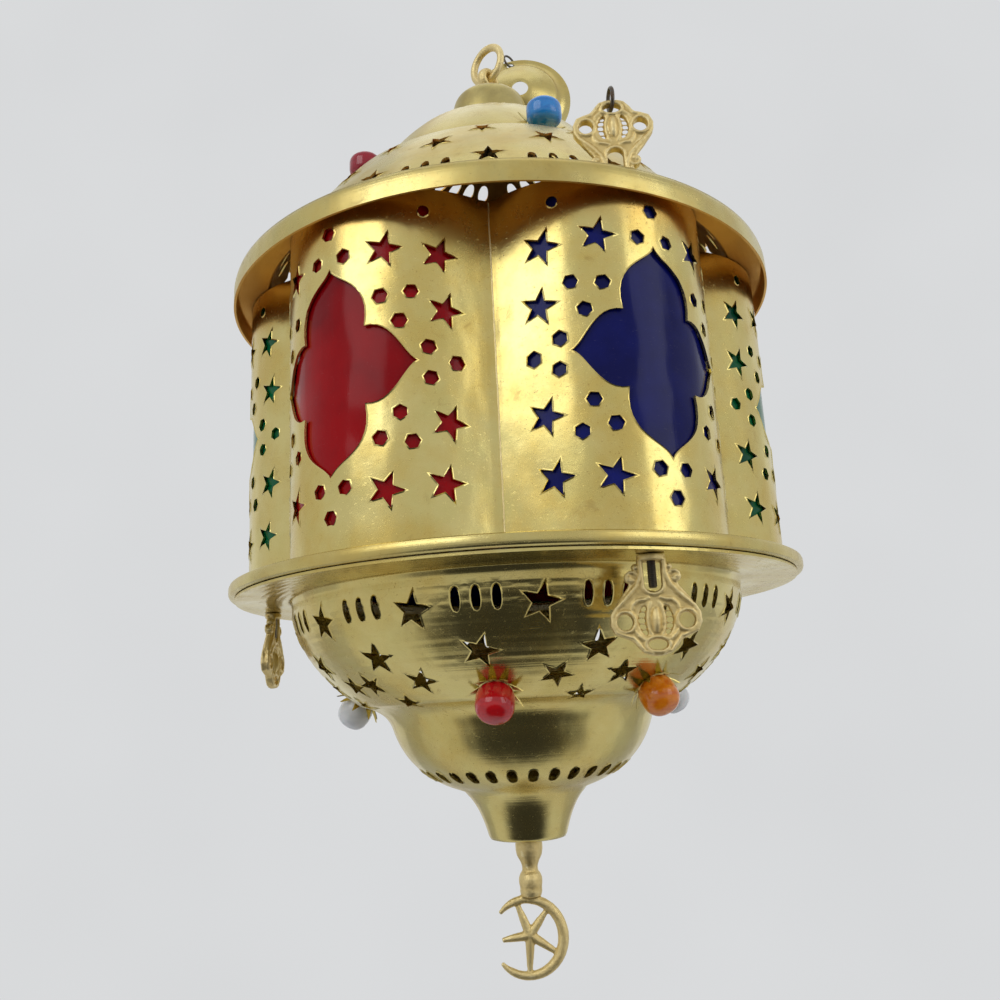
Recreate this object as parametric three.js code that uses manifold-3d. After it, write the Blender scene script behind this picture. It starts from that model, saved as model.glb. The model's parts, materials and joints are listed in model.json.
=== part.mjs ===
// A pierced brass hanging lantern with six lobed panels, coloured liners, glass beads and cast ears.
// Millimetres, +Z up. The origin is the inner top of the hanging ring, where a hook carries the lantern.
// Inside this file heights are measured from the parting plane between the two flanges,
// and turns are degrees about Z, with 0 towards -Y, the front, and 90 towards +X.
import * as THREE from 'three';
import { mergeGeometries, mergeVertices } from 'three/addons/utils/BufferGeometryUtils.js';
import Module from 'manifold-3d';

const wasm = await Module();
wasm.setup();

// General sizes
const SHEET = 0.8; // spun brass sheet
const GAP = 0.3; // clearance between pieces that only touch
const ROUND_STEPS = 30; // facets round a spun shell
const PANEL_COUNT = 6;
const PANEL_STEP = 360 / PANEL_COUNT;
const FIRST_PANEL_TURN = 28.5; // the blue panel at the front right

// Base ring, the upper flange that carries the panels
const BASE_RING_R = 100;
const BASE_RING_HOLE_R = 64;
const BASE_RING_TOP_Z = 4.3;
const BASE_RING_PLATE = 1;
const BASE_RING_RIM = 3.5; // width of the folded rim

// Lobed panels
const PANEL_SET_IN = 4; // from the base ring's edge to a lobe's crest
const PANEL_CREST_R = BASE_RING_R - PANEL_SET_IN;
const PANEL_LOBE_R = 0.4115 * PANEL_CREST_R;
const PANEL_LOBE_HALF_ANGLE = 70;
const PANEL_VALLEY_R = 0.8125 * PANEL_CREST_R;
const PANEL_SHEET = 0.7;
const PANEL_ARC_STEPS = 8;
const LINER_SHEET = 0.5;
const LINER_MARGIN = 2.5; // how far the liner stays below and above the panel's ends

// Window of a panel, in millimetres along the sheet from its crest line and in height
const WINDOW_Z = 57.5;
const WINDOW_HALF_WIDTH = 27;
const WINDOW_HALF_HEIGHT = 32;
const WINDOW_NOTCH = 11.7; // distance of the four inner corners from both middle lines

// Punched stars of a panel, mirrored in its crest line, measured as the window is
const STAR_R = 5.6;
const STAR_INNER_R = 2.2;
const PANEL_STARS = [[17.6, 92.5], [34.2, 90.5], [35.6, 72.5], [35.6, 39], [34, 21], [17.5, 20.3]];

// Dome, with its brim on top of the panels
const BRIM_R = BASE_RING_R - GAP;
const BRIM_BOTTOM_Z = 105;
const BRIM_TOP_Z = 113;
const BRIM_BEVEL = 1.2;
const BRIM_SHELF = 12.7; // width of the flat shelf, bevel included
const BELL_FOOT_R = BRIM_R - BRIM_SHELF;
const BELL_BULGE = [BELL_FOOT_R - 3.5, 127]; // control point of the bell's curve
const BELL_TOP = [64, 148.8];
const BELL_LEDGE = [2, 1.5]; // in and up, above the bell
const BULB_FOOT = [53, 151.5];
const BULB_BULGE = [49, 164.5];
const BULB_TOP = [35.5, 178];
const BULB_LEDGE = [1.5, 1];
const SHOULDER_TOP = [20, 183.5];
const CROWN_LEDGE = 2; // from the shoulder's top in to the flat crown
const SHOULDER_SLOTS = 28;
const SHOULDER_SLOT_R = 29.2; // middle of the slots
const SHOULDER_SLOT_LENGTH = 9.2;
const SHOULDER_SLOT_WIDTH = 4.4;
const SHOULDER_SLOT_TURN = 9.5; // of the first slot

// Cap on the dome, with the eye and the hanging ring
const CAP_FOOT_R = 16.4;
const CAP_HEIGHT = 20.4;
const CAP_TOP_R = 12.8;
const CAP_EDGE = 4; // height of the bands below the taper and above it
const CAP_BAND_IN = 0.4; // how far the lower band leans in
const CAP_TAPER_OUT = 2; // taper's end outside the top's edge
const CAP_BEVEL = [3, 0.5];
const EYE_R = 5.2;
const EYE_THICKNESS = 4.6;
const EYE_HOLE_R = 2.3;
const EYE_RISE = 9.6; // eye centre above the cap's top
const EYE_STEM_R = 2;
const EYE_STEM_BELOW = 8; // stem below the dome's crown sheet
const EYE_COLLAR_R = 3.2;
const EYE_SUNK = 1; // how far stem and collar go into the ball
const EYE_NUT_R = 4.2;
const EYE_NUT_HEIGHT = 3;
const RING_R = 7.5;
const RING_WIRE_R = 1.5;
const RING_TURN = -41; // turn of the ring's plane from face-on

// Bowl, with its flange under the base ring
const BOWL_SET_IN = 2.2; // from the base ring's edge to the flange's
const BOWL_FLANGE_R = BASE_RING_R - BOWL_SET_IN;
const BOWL_FLANGE = 18.8; // width of the flange
const BOWL_WALL_TOP = [BOWL_FLANGE_R - BOWL_FLANGE, -5];
const BOWL_WALL_BULGE = [BOWL_WALL_TOP[0] - 2.5, -23]; // control point of the wall's curve
const BOWL_WALL_FOOT = [55.6, -37];
const BOWL_COVE = [47, -38.5];
const BOWL_BULB_TOP = [45, -45];
const BOWL_BULB_BULGE = [40.5, -59];
const BOWL_BULB_FOOT = [25.7, -65];
const CUP_LEDGE = [1, 1.5]; // out and up, above the cup
const CUP_TOP = [20, -68];
const CUP_BULGE = [16, -72];
const CUP_FOOT = [13.5, -81.5];
const CUP_BEVEL = 1.5;
const CUP_BOTTOM_Z = CUP_FOOT[1] - CUP_BEVEL;

// Tie rods and the cast ears that are screwed on their ends
const ROD_COUNT = 3;
const ROD_STEP = 360 / ROD_COUNT;
const FIRST_ROD_TURN = FIRST_PANEL_TURN - 4.3;
const ROD_SET_IN = 9; // from the base ring's edge to a rod
const ROD_CIRCLE_R = BASE_RING_R - ROD_SET_IN;
const ROD_R = 1.25;
const ROD_ABOVE = 3.2; // end past the base of the upper ear
const ROD_BELOW = 9; // end past the base of the lower ear
const EAR_THICKNESS = 2.4;
const EAR_HEIGHT = 27.3;
const EAR_FOOT = [3.9, 2.9, 1.8]; // half length, half width and thickness of the oval foot
const EAR_TWISTS = { front: -25, back_right: 10, left: 7 }; // turn of each pair about its rod
const EAR_HALF_OUTLINE = [[3.9, 0], [3.9, 4.5], [6.9, 4.9], [7.2, 6.6], [6.2, 7.8], [8.6, 10.5], [10.9, 14],
  [12.6, 17.6], [11.3, 21], [8, 22.6], [5.4, 24.4], [3.4, 26.5]];
const EAR_SLOT = [2.5, 10.2, 1.5]; // half width, top and rise of the slot round the rod's end
const EAR_ROUND_HOLE = [8.3, 18, 2.2]; // place and radius
const EAR_END_HOLE = [24.4, 2.7, 1.5]; // height, half width and half height
const EAR_CRESCENT = [3, 4.7, 17.8, 3.6]; // inner and outer edge, middle height, half length
const EAR_CRESCENT_HORN = [1.1, 0.6]; // how far its two tips reach in and on
const EAR_CRESCENT_BACK = 2; // half length of its straight outer edge
const EAR_BOSS = [1.9, 4.2, 1.2]; // half width, half length and rise of the almond boss
const EAR_BOSS_Z = 17.8;
const LINK_WIRE_R = 0.6;
const LINK_HALF_WIDTH = 3;
const LINK_HALF_HEIGHT = 3.5;
const LINK_TURN = 8; // out of the plane square to the ear

// Glass beads
const BEAD_R = 6;
const DOME_BEAD_HALF = [6.4, BEAD_R, 4.9]; // squat beads: across, outwards and up
const BOWL_BEAD_HALF = [BEAD_R, BEAD_R, BEAD_R];
const BEAD_STAND_OFF = 4.4; // centre of a bead from the sheet's outer face
const DOME_BEAD_SEAT_Z = 159.3;
const BOWL_BEAD_SEAT_Z = -34.6;

// Finial below the cup
const FINIAL_STEM_R = 4.6;
const FINIAL_NECK_R = 2.6;
const FINIAL_BEAD_R = 4;
const FINIAL_STUD_R = 1.9;
const FINIAL_STUD = 7; // length above the cup's bottom
const FINIAL_NUT_R = 4.2;
const FINIAL_NUT_HEIGHT = 3;
const FINIAL_THICKNESS = 2.6;
const FINIAL_PROFILE = [[FINIAL_STEM_R, 0], [FINIAL_STEM_R, 4], [FINIAL_NECK_R, 8], [FINIAL_NECK_R, 9.5],
  [FINIAL_BEAD_R, 11], [FINIAL_BEAD_R, 12.5], [FINIAL_NECK_R + 0.9, 14], [FINIAL_BEAD_R - 0.2, 16]];
const CRESCENT_Z = -114.3;
const CRESCENT_X = -1.5;
const CRESCENT_R = 13.3;
const CRESCENT_HOLLOW_R = 10.4;
const CRESCENT_HOLLOW_SHIFT = 0.8;
const CRESCENT_OPENING = 37; // half angle of the opening between its horns
const STAR_CENTRE = [0.3, 0.6]; // from the crescent's centre
const STAR_ARMS = [[-9.3, -1.2], [-3.9, 10.1], [6.2, 7.7], [9.4, -6.1], [-0.6, -11.7]];
const STAR_HUB_R = 2.4;
const STAR_THICKNESS = 2;

// Candle pan inside the bowl
const PAN_Z = -49;
const PAN_RIM = 4;
const SOCKET_R = 11.5;
const SOCKET_HEIGHT = 18;

// Ceiling canopy, on edge behind the cap
const CANOPY_R = 21.3;
const CANOPY_RIM = 2.3; // width of the flat rim
const CANOPY_SIDE = [15.6, 3.6]; // lower end of the sloping side, then the two ends of the crown
const CANOPY_CROWN = [14.4, 4.4];
const CANOPY_FLAT = [4.5, 9.8];
const CANOPY_HOLE_R = 3.5;
const CANOPY_TURN = 177; // the way its open side looks
const CANOPY_SIDE_SHIFT = -12.9; // along its own foot
const CANOPY_AWAY = 17.2; // rim plane from the lantern's axis
const CANOPY_Z = 215.7;
const CANOPY_LINK_TURN = 11; // the link's place on the rim, from the top
const CANOPY_LINK_INSET = 2.4;
const CANOPY_LINK_HOLE_R = 1.7;
const CANOPY_LINK_R = 2.8;
const CANOPY_LINK_WIRE_R = 0.5;
const CANOPY_LINK_SLANT = 45; // out of the plane square to the rim

// Places that follow from the sizes above
const CROWN_Z = SHOULDER_TOP[1] + SHEET;
const CAP_FOOT_Z = CROWN_Z + GAP;
const CAP_TOP_Z = CAP_FOOT_Z + CAP_HEIGHT;
const EYE_Z = CAP_TOP_Z + EYE_RISE;
const RING_Z = EYE_Z + RING_R;
const HANG_Z = RING_Z + RING_R - RING_WIRE_R;
const PANEL_BOTTOM_Z = BASE_RING_TOP_Z + GAP;
const PANEL_TOP_Z = BRIM_TOP_Z - SHEET - GAP;
const LOBE_CENTRE_R = PANEL_CREST_R - PANEL_LOBE_R;

const rad = THREE.MathUtils.degToRad;
const lantern = new THREE.Group();
lantern.position.z = -HANG_Z;

// Materials
const metal = (color, roughness) => new THREE.MeshStandardMaterial({ color, roughness, metalness: 1 });
const gloss = (color, opacity = 1) => new THREE.MeshStandardMaterial({
  color, roughness: 0.15, metalness: 0, transparent: opacity < 1, opacity,
});
const brass = metal(0xc8b765, 0.32);
const castBrass = metal(0xc2a45c, 0.6);
const steel = metal(0x5a564a, 0.45);
const linerColours = { blue: 0x16207a, green: 0x0a6a34, red: 0xa00a1e };
const liners = {};
for (const [name, colour] of Object.entries(linerColours)) liners[name] = gloss(colour, 0.8);

// A geometry as one welded, outward facing mesh with positions only
function weld(geometry) {
  geometry.deleteAttribute('normal');
  geometry.deleteAttribute('uv');
  const welded = mergeVertices(geometry, 1e-4);
  const corner = welded.index.array;
  const point = (i) => new THREE.Vector3().fromBufferAttribute(welded.attributes.position, i);
  const kept = [];
  let volume = 0;
  for (let i = 0; i < corner.length; i += 3) {
    const [a, b, c] = [corner[i], corner[i + 1], corner[i + 2]];
    if (a === b || b === c || c === a) continue;
    kept.push(a, b, c);
    volume += point(a).dot(point(b).cross(point(c)));
  }
  if (volume < 0) kept.reverse();
  welded.setIndex(kept);
  return welded;
}

function solid(geometry) {
  const welded = weld(geometry);
  return new wasm.Manifold(new wasm.Mesh({
    numProp: 3,
    vertProperties: new Float32Array(welded.attributes.position.array),
    triVerts: new Uint32Array(welded.index.array),
  }));
}

function fromSolid(manifold) {
  const { vertProperties, triVerts } = manifold.getMesh();
  const geometry = new THREE.BufferGeometry();
  geometry.setAttribute('position', new THREE.BufferAttribute(vertProperties, 3));
  geometry.setIndex(new THREE.BufferAttribute(triVerts, 1));
  return geometry;
}

function cut(geometry, ...tools) {
  let result = solid(geometry);
  for (const tool of tools) result = result.subtract(solid(tool));
  return fromSolid(result);
}

function join(...geometries) {
  let result = solid(geometries[0]);
  for (const geometry of geometries.slice(1)) result = result.add(solid(geometry));
  return fromSolid(result);
}

function add(name, geometry, material, parent = lantern) {
  const mesh = new THREE.Mesh(weld(geometry.clone()), material);
  mesh.geometry.computeVertexNormals();
  mesh.name = name;
  parent.add(mesh);
  return mesh;
}

// A group turned about the lantern's axis: what is built on the -Y side lands at that turn
function turned(turn, parent = lantern) {
  const group = new THREE.Group();
  group.rotation.z = rad(turn);
  parent.add(group);
  return group;
}

// A solid of revolution about Z from a closed outline of [radius, height] points
function spun(outline, steps = ROUND_STEPS) {
  const points = [...outline, outline[0]].map(([r, z]) => new THREE.Vector2(r, z));
  return new THREE.LatheGeometry(points, steps).rotateX(Math.PI / 2);
}

// The closed outline of a sheet that lies on the left of the path
function sheetOutline(path, thickness) {
  const away = (from, to) => new THREE.Vector2(from.y - to.y, to.x - from.x).normalize();
  const inner = path.map((point, i) => {
    const before = i > 0 ? away(path[i - 1], point) : away(point, path[i + 1]);
    const after = i < path.length - 1 ? away(point, path[i + 1]) : before;
    const middle = before.clone().add(after).normalize();
    return point.clone().addScaledVector(middle, thickness / middle.dot(before));
  });
  return [...path, ...inner.reverse()].map((point) => [point.x, point.y]);
}

// The stretch of a path that passes a height, and how far along it that is
function stretchAt(path, z) {
  const i = path.findIndex((point, k) => k > 0 && (path[k - 1].y - z) * (point.y - z) <= 0);
  const [from, to] = [path[i - 1], path[i]];
  return { from, to, share: (z - from.y) / (to.y - from.y) };
}

function radiusAt(path, z) {
  const { from, to, share } = stretchAt(path, z);
  return from.x + share * (to.x - from.x);
}

// A point off the outer side of a path, on the normal where the path passes a height
function seatOn(path, z, standOff) {
  const { from, to } = stretchAt(path, z);
  const normal = new THREE.Vector2(to.y - from.y, from.x - to.x).normalize();
  return new THREE.Vector2(radiusAt(path, z), z).addScaledVector(normal, standOff);
}

function cylinder(radius, bottom, top, steps = 8) {
  const geometry = new THREE.CylinderGeometry(radius, radius, top - bottom, steps).rotateX(Math.PI / 2);
  return geometry.translate(0, 0, (bottom + top) / 2);
}

// Extrudes a shape drawn in X and Z through a depth centred on Y = 0
function plate(shape, depth, curveSegments = 4) {
  const geometry = new THREE.ExtrudeGeometry(shape, { depth, bevelEnabled: false, curveSegments });
  return geometry.translate(0, 0, -depth / 2).rotateX(Math.PI / 2);
}

function polygon(points) {
  return new THREE.Shape(points.map(([x, y]) => new THREE.Vector2(x, y)));
}

// A five-pointed star with one point to the right
function starOutline(radius, innerRadius) {
  return Array.from({ length: 10 }, (_, i) => {
    const turn = Math.PI * (i / 5);
    const r = i % 2 ? innerRadius : radius;
    return [r * Math.cos(turn), r * Math.sin(turn)];
  });
}

function almondOutline(halfWidth, halfLength) {
  const side = [[0, 1], [0.9, 0.35], [0.9, -0.35]];
  const points = [...side, ...side.map(([x, y]) => [-x, -y])];
  return points.map(([x, y]) => [x * halfWidth, y * halfLength]);
}

// Base ring
function baseRing() {
  const rimIn = BASE_RING_R - BASE_RING_RIM;
  const plateBottom = BASE_RING_TOP_Z - BASE_RING_PLATE;
  return cut(spun([[BASE_RING_HOLE_R, plateBottom], [rimIn, plateBottom], [rimIn, GAP], [BASE_RING_R, GAP],
    [BASE_RING_R, BASE_RING_TOP_Z], [BASE_RING_HOLE_R, BASE_RING_TOP_Z]]), ...rodHoles());
}

function rodHoles() {
  const holes = [];
  for (let i = 0; i < ROD_COUNT; i += 1) {
    const hole = cylinder(ROD_R + GAP, CUP_BOTTOM_Z, EYE_Z).translate(0, -ROD_CIRCLE_R, 0);
    holes.push(hole.rotateZ(rad(FIRST_ROD_TURN + i * ROD_STEP)));
  }
  return holes;
}

// The lobe's section, seen from above with the crest towards -Y, for a surface set in by inset
function lobeSection(inset) {
  const r = PANEL_LOBE_R - inset;
  return Array.from({ length: PANEL_ARC_STEPS + 1 }, (_, i) => {
    const angle = rad(PANEL_LOBE_HALF_ANGLE * (2 * i / PANEL_ARC_STEPS - 1));
    return [r * Math.sin(angle), -LOBE_CENTRE_R - r * Math.cos(angle)];
  });
}

function lobedSheet(outer, inner, bottom, top) {
  const geometry = new THREE.ExtrudeGeometry(polygon([...outer, ...inner.reverse()]),
    { depth: top - bottom, bevelEnabled: false });
  return geometry.translate(0, 0, bottom);
}

// A panel before piercing, with its edges turned out along the valley between two lobes
function panelSheet() {
  const half = rad(PANEL_STEP / 2);
  const lipEnd = (inset) => {
    const r = PANEL_VALLEY_R - inset;
    const across = GAP / 2;
    return [r * Math.sin(half) - across * Math.cos(half), -r * Math.cos(half) - across * Math.sin(half)];
  };
  const withLips = (inset) => {
    const [x, y] = lipEnd(inset);
    return [[-x, y], ...lobeSection(inset), [x, y]];
  };
  return lobedSheet(withLips(0), withLips(PANEL_SHEET), PANEL_BOTTOM_Z, PANEL_TOP_Z);
}

// The four-lobed ogee window, flattened on the plane across the crest
function windowOutline() {
  const shape = new THREE.Shape();
  const [w, h, n] = [WINDOW_HALF_WIDTH, WINDOW_HALF_HEIGHT, WINDOW_NOTCH];
  shape.moveTo(0, h);
  shape.bezierCurveTo(n * 0.2, h * 0.84, n * 1.2, h * 0.8, n, n);
  shape.bezierCurveTo(w * 0.75, n * 1.1, w * 0.85, n * 0.15, w, 0);
  shape.bezierCurveTo(w * 0.85, -n * 0.15, w * 0.75, -n * 1.1, n, -n);
  shape.bezierCurveTo(n * 1.2, -h * 0.8, n * 0.2, -h * 0.84, 0, -h);
  const right = shape.getPoints(6).map((point) => [point.x, point.y]);
  const left = right.slice(1, -1).reverse().map(([u, z]) => [-u, z]);
  return [...right, ...left].map(([u, z]) => [PANEL_LOBE_R * Math.sin(u / PANEL_LOBE_R), z + WINDOW_Z]);
}

function windowCutter() {
  return plate(polygon(windowOutline()), PANEL_CREST_R).translate(0, -PANEL_CREST_R, 0);
}

// A prism through the lobe at a distance along the sheet from its crest, and at a height
function lobePunch(outline, along, z) {
  const prism = plate(polygon(outline), 6 * PANEL_SHEET).translate(0, -PANEL_LOBE_R, z);
  return prism.rotateZ(along / PANEL_LOBE_R).translate(0, -LOBE_CENTRE_R, 0);
}

function panelPunches() {
  const star = starOutline(STAR_R, STAR_INNER_R);
  const sides = [1, -1].flatMap((side) => PANEL_STARS.map(([along, z]) => lobePunch(star, side * along, z)));
  return mergeGeometries(sides);
}

function liner() {
  const inset = PANEL_SHEET + GAP;
  const [outer, inner] = [lobeSection(inset), lobeSection(inset + LINER_SHEET)];
  return lobedSheet(outer, inner, PANEL_BOTTOM_Z + LINER_MARGIN, PANEL_TOP_Z - LINER_MARGIN);
}

// Dome, from the brim's lower edge to the crown
function domePath() {
  const path = new THREE.Path();
  path.moveTo(BRIM_R, BRIM_BOTTOM_Z);
  path.lineTo(BRIM_R, BRIM_TOP_Z - BRIM_BEVEL);
  path.lineTo(BRIM_R - BRIM_BEVEL, BRIM_TOP_Z);
  path.lineTo(BELL_FOOT_R, BRIM_TOP_Z);
  path.quadraticCurveTo(...BELL_BULGE, ...BELL_TOP);
  path.lineTo(BELL_TOP[0] - BELL_LEDGE[0], BELL_TOP[1] + BELL_LEDGE[1]);
  path.lineTo(...BULB_FOOT);
  path.quadraticCurveTo(...BULB_BULGE, ...BULB_TOP);
  path.lineTo(BULB_TOP[0] - BULB_LEDGE[0], BULB_TOP[1] + BULB_LEDGE[1]);
  path.lineTo(...SHOULDER_TOP);
  path.lineTo(SHOULDER_TOP[0] - CROWN_LEDGE, CROWN_Z);
  path.lineTo(EYE_STEM_R + GAP, CROWN_Z);
  return path.getPoints(4);
}

function dome() {
  const slots = [];
  const [r, z] = SHOULDER_TOP;
  for (let i = 0; i < SHOULDER_SLOTS; i += 1) {
    const almond = polygon(almondOutline(SHOULDER_SLOT_WIDTH / 2, SHOULDER_SLOT_LENGTH / 2));
    const slot = new THREE.ExtrudeGeometry(almond, { depth: 2 * (BULB_TOP[0] - r), bevelEnabled: false });
    slot.translate(0, -SHOULDER_SLOT_R, z - (BULB_TOP[0] - r));
    slots.push(slot.rotateZ(rad(SHOULDER_SLOT_TURN + 360 * (i / SHOULDER_SLOTS))));
  }
  const shell = spun(sheetOutline(domePath(), SHEET));
  return cut(shell, mergeGeometries(slots), ...rodHoles(), ...beadSockets(domeBeads));
}

// Bowl, from its flange to the cup's bottom
function bowlPath() {
  const path = new THREE.Path();
  path.moveTo(FINIAL_STUD_R + GAP, CUP_BOTTOM_Z);
  path.lineTo(CUP_FOOT[0] - CUP_BEVEL, CUP_BOTTOM_Z);
  path.lineTo(...CUP_FOOT);
  path.quadraticCurveTo(...CUP_BULGE, ...CUP_TOP);
  path.lineTo(CUP_TOP[0] + CUP_LEDGE[0], CUP_TOP[1] + CUP_LEDGE[1]);
  path.lineTo(...BOWL_BULB_FOOT);
  path.quadraticCurveTo(...BOWL_BULB_BULGE, ...BOWL_BULB_TOP);
  path.quadraticCurveTo(...BOWL_COVE, ...BOWL_WALL_FOOT);
  path.quadraticCurveTo(...BOWL_WALL_BULGE, ...BOWL_WALL_TOP);
  path.lineTo(BOWL_WALL_TOP[0], -SHEET);
  path.lineTo(BOWL_FLANGE_R, -SHEET);
  return path.getPoints(3);
}

function bowl() {
  return cut(spun(sheetOutline(bowlPath(), SHEET)), ...rodHoles(), ...beadSockets(bowlBeads));
}

// Beads: turn and colour of each, on the dome's bulb and on the bowl's wall
const domeBeads = {
  seat: seatOn(domePath(), DOME_BEAD_SEAT_Z, BEAD_STAND_OFF),
  half: DOME_BEAD_HALF,
  beads: [['front', 20.5, 0x1e78c8], ['left', -63, 0xa50f2d], ['right', 112, 0xd8dcde],
    ['back', -156, 0xf08c0a]],
};
const bowlBeads = {
  seat: seatOn(bowlPath(), BOWL_BEAD_SEAT_Z, BEAD_STAND_OFF),
  half: BOWL_BEAD_HALF,
  beads: [['front', -7, 0xc80a1e], ['right', 43, 0xf08c0a], ['back_right', 112, 0xe1e6e8],
    ['back', 178, 0x1e78c8], ['left', -100, 0xe1e6e8]],
};

// A bead on its seat, grown by clear on all sides
function beadBody({ seat, half }, clear, rings) {
  const bead = new THREE.SphereGeometry(1, 8, rings).scale(...half.map((size) => size + clear));
  return bead.translate(0, -seat.x, seat.y);
}

function beadSockets(row) {
  return row.beads.map(([, turn]) => beadBody(row, GAP, 8).rotateZ(rad(turn)));
}

function addBeads(prefix, row) {
  for (const [place, turn, colour] of row.beads) {
    add(`${prefix}_bead_${place}`, beadBody(row, 0, 6), gloss(colour), turned(turn));
  }
}

// Cap, eye and hanging ring
function cap() {
  const path = new THREE.Path();
  path.moveTo(CAP_FOOT_R, CAP_FOOT_Z);
  path.lineTo(CAP_FOOT_R - CAP_BAND_IN, CAP_FOOT_Z + CAP_EDGE);
  path.lineTo(CAP_TOP_R + CAP_TAPER_OUT, CAP_TOP_Z - CAP_EDGE);
  path.lineTo(CAP_TOP_R, CAP_TOP_Z - CAP_BEVEL[1]);
  path.lineTo(CAP_TOP_R - CAP_BEVEL[0], CAP_TOP_Z);
  path.lineTo(EYE_STEM_R + GAP, CAP_TOP_Z);
  return spun(sheetOutline(path.getPoints(1), SHEET), 18);
}

function eye() {
  const ball = new THREE.SphereGeometry(EYE_R, 12, 8).scale(1, EYE_THICKNESS / (2 * EYE_R), 1);
  const joint = EYE_Z - EYE_R + EYE_SUNK;
  const collar = cylinder(EYE_COLLAR_R, CAP_TOP_Z + GAP, joint, 10);
  const stem = cylinder(EYE_STEM_R, CROWN_Z - SHEET - EYE_STEM_BELOW, joint, 10);
  const hole = new THREE.CylinderGeometry(EYE_HOLE_R, EYE_HOLE_R, 2 * EYE_R, 10).translate(0, 0, EYE_Z);
  return cut(join(ball.translate(0, 0, EYE_Z), collar, stem), hole);
}

function nut(radius, bore, bottom, height) {
  const hole = cylinder(bore + GAP, bottom - 1, bottom + height + 1);
  return cut(cylinder(radius, bottom, bottom + height, 6), hole);
}

function eyeNut() {
  return nut(EYE_NUT_R, EYE_STEM_R, CROWN_Z - SHEET - GAP - EYE_NUT_HEIGHT, EYE_NUT_HEIGHT);
}

function hangingRing() {
  return new THREE.TorusGeometry(RING_R, RING_WIRE_R, 7, 20).rotateX(Math.PI / 2);
}

// Ears: drawn from the flange outwards, flat in X and Z, with an oval foot bored for the rod
function ear() {
  const left = EAR_HALF_OUTLINE.slice().reverse().map(([x, z]) => [-x, z]);
  const body = polygon([...EAR_HALF_OUTLINE, [0, EAR_HEIGHT], ...left]);
  const ellipse = (x, z, rx, rz) => new THREE.Path().absellipse(x, z, rx, rz, 0, 2 * Math.PI, true);
  const hole = (points) => new THREE.Path(points.map(([x, z]) => new THREE.Vector2(x, z)));
  const [footHalf, footAcross, footHeight] = EAR_FOOT;
  const [slotHalf, slotTop, slotRise] = EAR_SLOT;
  const [roundX, roundZ, roundR] = EAR_ROUND_HOLE;
  const [endZ, endHalf, endRise] = EAR_END_HOLE;
  const [innerX, outerX, middle, reach] = EAR_CRESCENT;
  const [tipX, tip] = [innerX - EAR_CRESCENT_HORN[0], reach + EAR_CRESCENT_HORN[1]];
  body.holes.push(hole([[-slotHalf, footHeight], [slotHalf, footHeight], [slotHalf, slotTop - slotRise],
    [0, slotTop], [-slotHalf, slotTop - slotRise]]));
  body.holes.push(ellipse(0, endZ, endHalf, endRise));
  for (const side of [1, -1]) {
    body.holes.push(ellipse(side * roundX, roundZ, roundR, roundR));
    body.holes.push(hole([[side * tipX, middle + tip], [side * innerX, middle], [side * tipX, middle - tip],
      [side * outerX, middle - EAR_CRESCENT_BACK], [side * outerX, middle + EAR_CRESCENT_BACK]]));
  }
  const casting = plate(body, EAR_THICKNESS, 2);
  const foot = cylinder(1, 0, footHeight, 16).scale(footHalf, footAcross, 1);
  const [bossHalf, bossReach, bossRise] = EAR_BOSS;
  const boss = new THREE.SphereGeometry(1, 8, 6).scale(bossHalf, EAR_THICKNESS / 2 + bossRise, bossReach);
  const rodHole = cylinder(ROD_R + GAP, -1, footHeight + 1);
  return cut(join(casting, foot, boss.translate(0, 0, EAR_BOSS_Z)), rodHole);
}

// A dark steel link through the ear's end hole, round the bar at the ear's end
function earLink() {
  const link = new THREE.TorusGeometry(1, LINK_WIRE_R / LINK_HALF_WIDTH, 5, 12);
  link.scale(LINK_HALF_WIDTH, LINK_HALF_HEIGHT, LINK_HALF_WIDTH);
  link.rotateX(Math.PI / 2).rotateZ(Math.PI / 2 + rad(LINK_TURN));
  return link.translate(0, 0, EAR_END_HOLE[0] + LINK_HALF_HEIGHT);
}

const rodNames = ['front', 'back_right', 'left'];
function addRodSets() {
  const lowerFoot = -SHEET - GAP;
  const upperFoot = BRIM_TOP_Z + GAP;
  rodNames.forEach((name, i) => {
    const place = new THREE.Group();
    place.position.y = -ROD_CIRCLE_R;
    place.rotation.z = rad(EAR_TWISTS[name]);
    turned(FIRST_ROD_TURN + i * ROD_STEP).add(place);
    add(`tie_rod_${name}`, cylinder(ROD_R, lowerFoot - ROD_BELOW, upperFoot + ROD_ABOVE), steel, place);
    const upper = new THREE.Group();
    upper.position.z = upperFoot;
    const lower = new THREE.Group();
    lower.position.z = lowerFoot;
    lower.rotation.y = Math.PI;
    place.add(upper, lower);
    add(`upper_ear_${name}`, ear(), castBrass, upper);
    add(`ear_link_${name}`, earLink(), steel, upper);
    add(`lower_ear_${name}`, ear(), castBrass, lower);
  });
}

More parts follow.
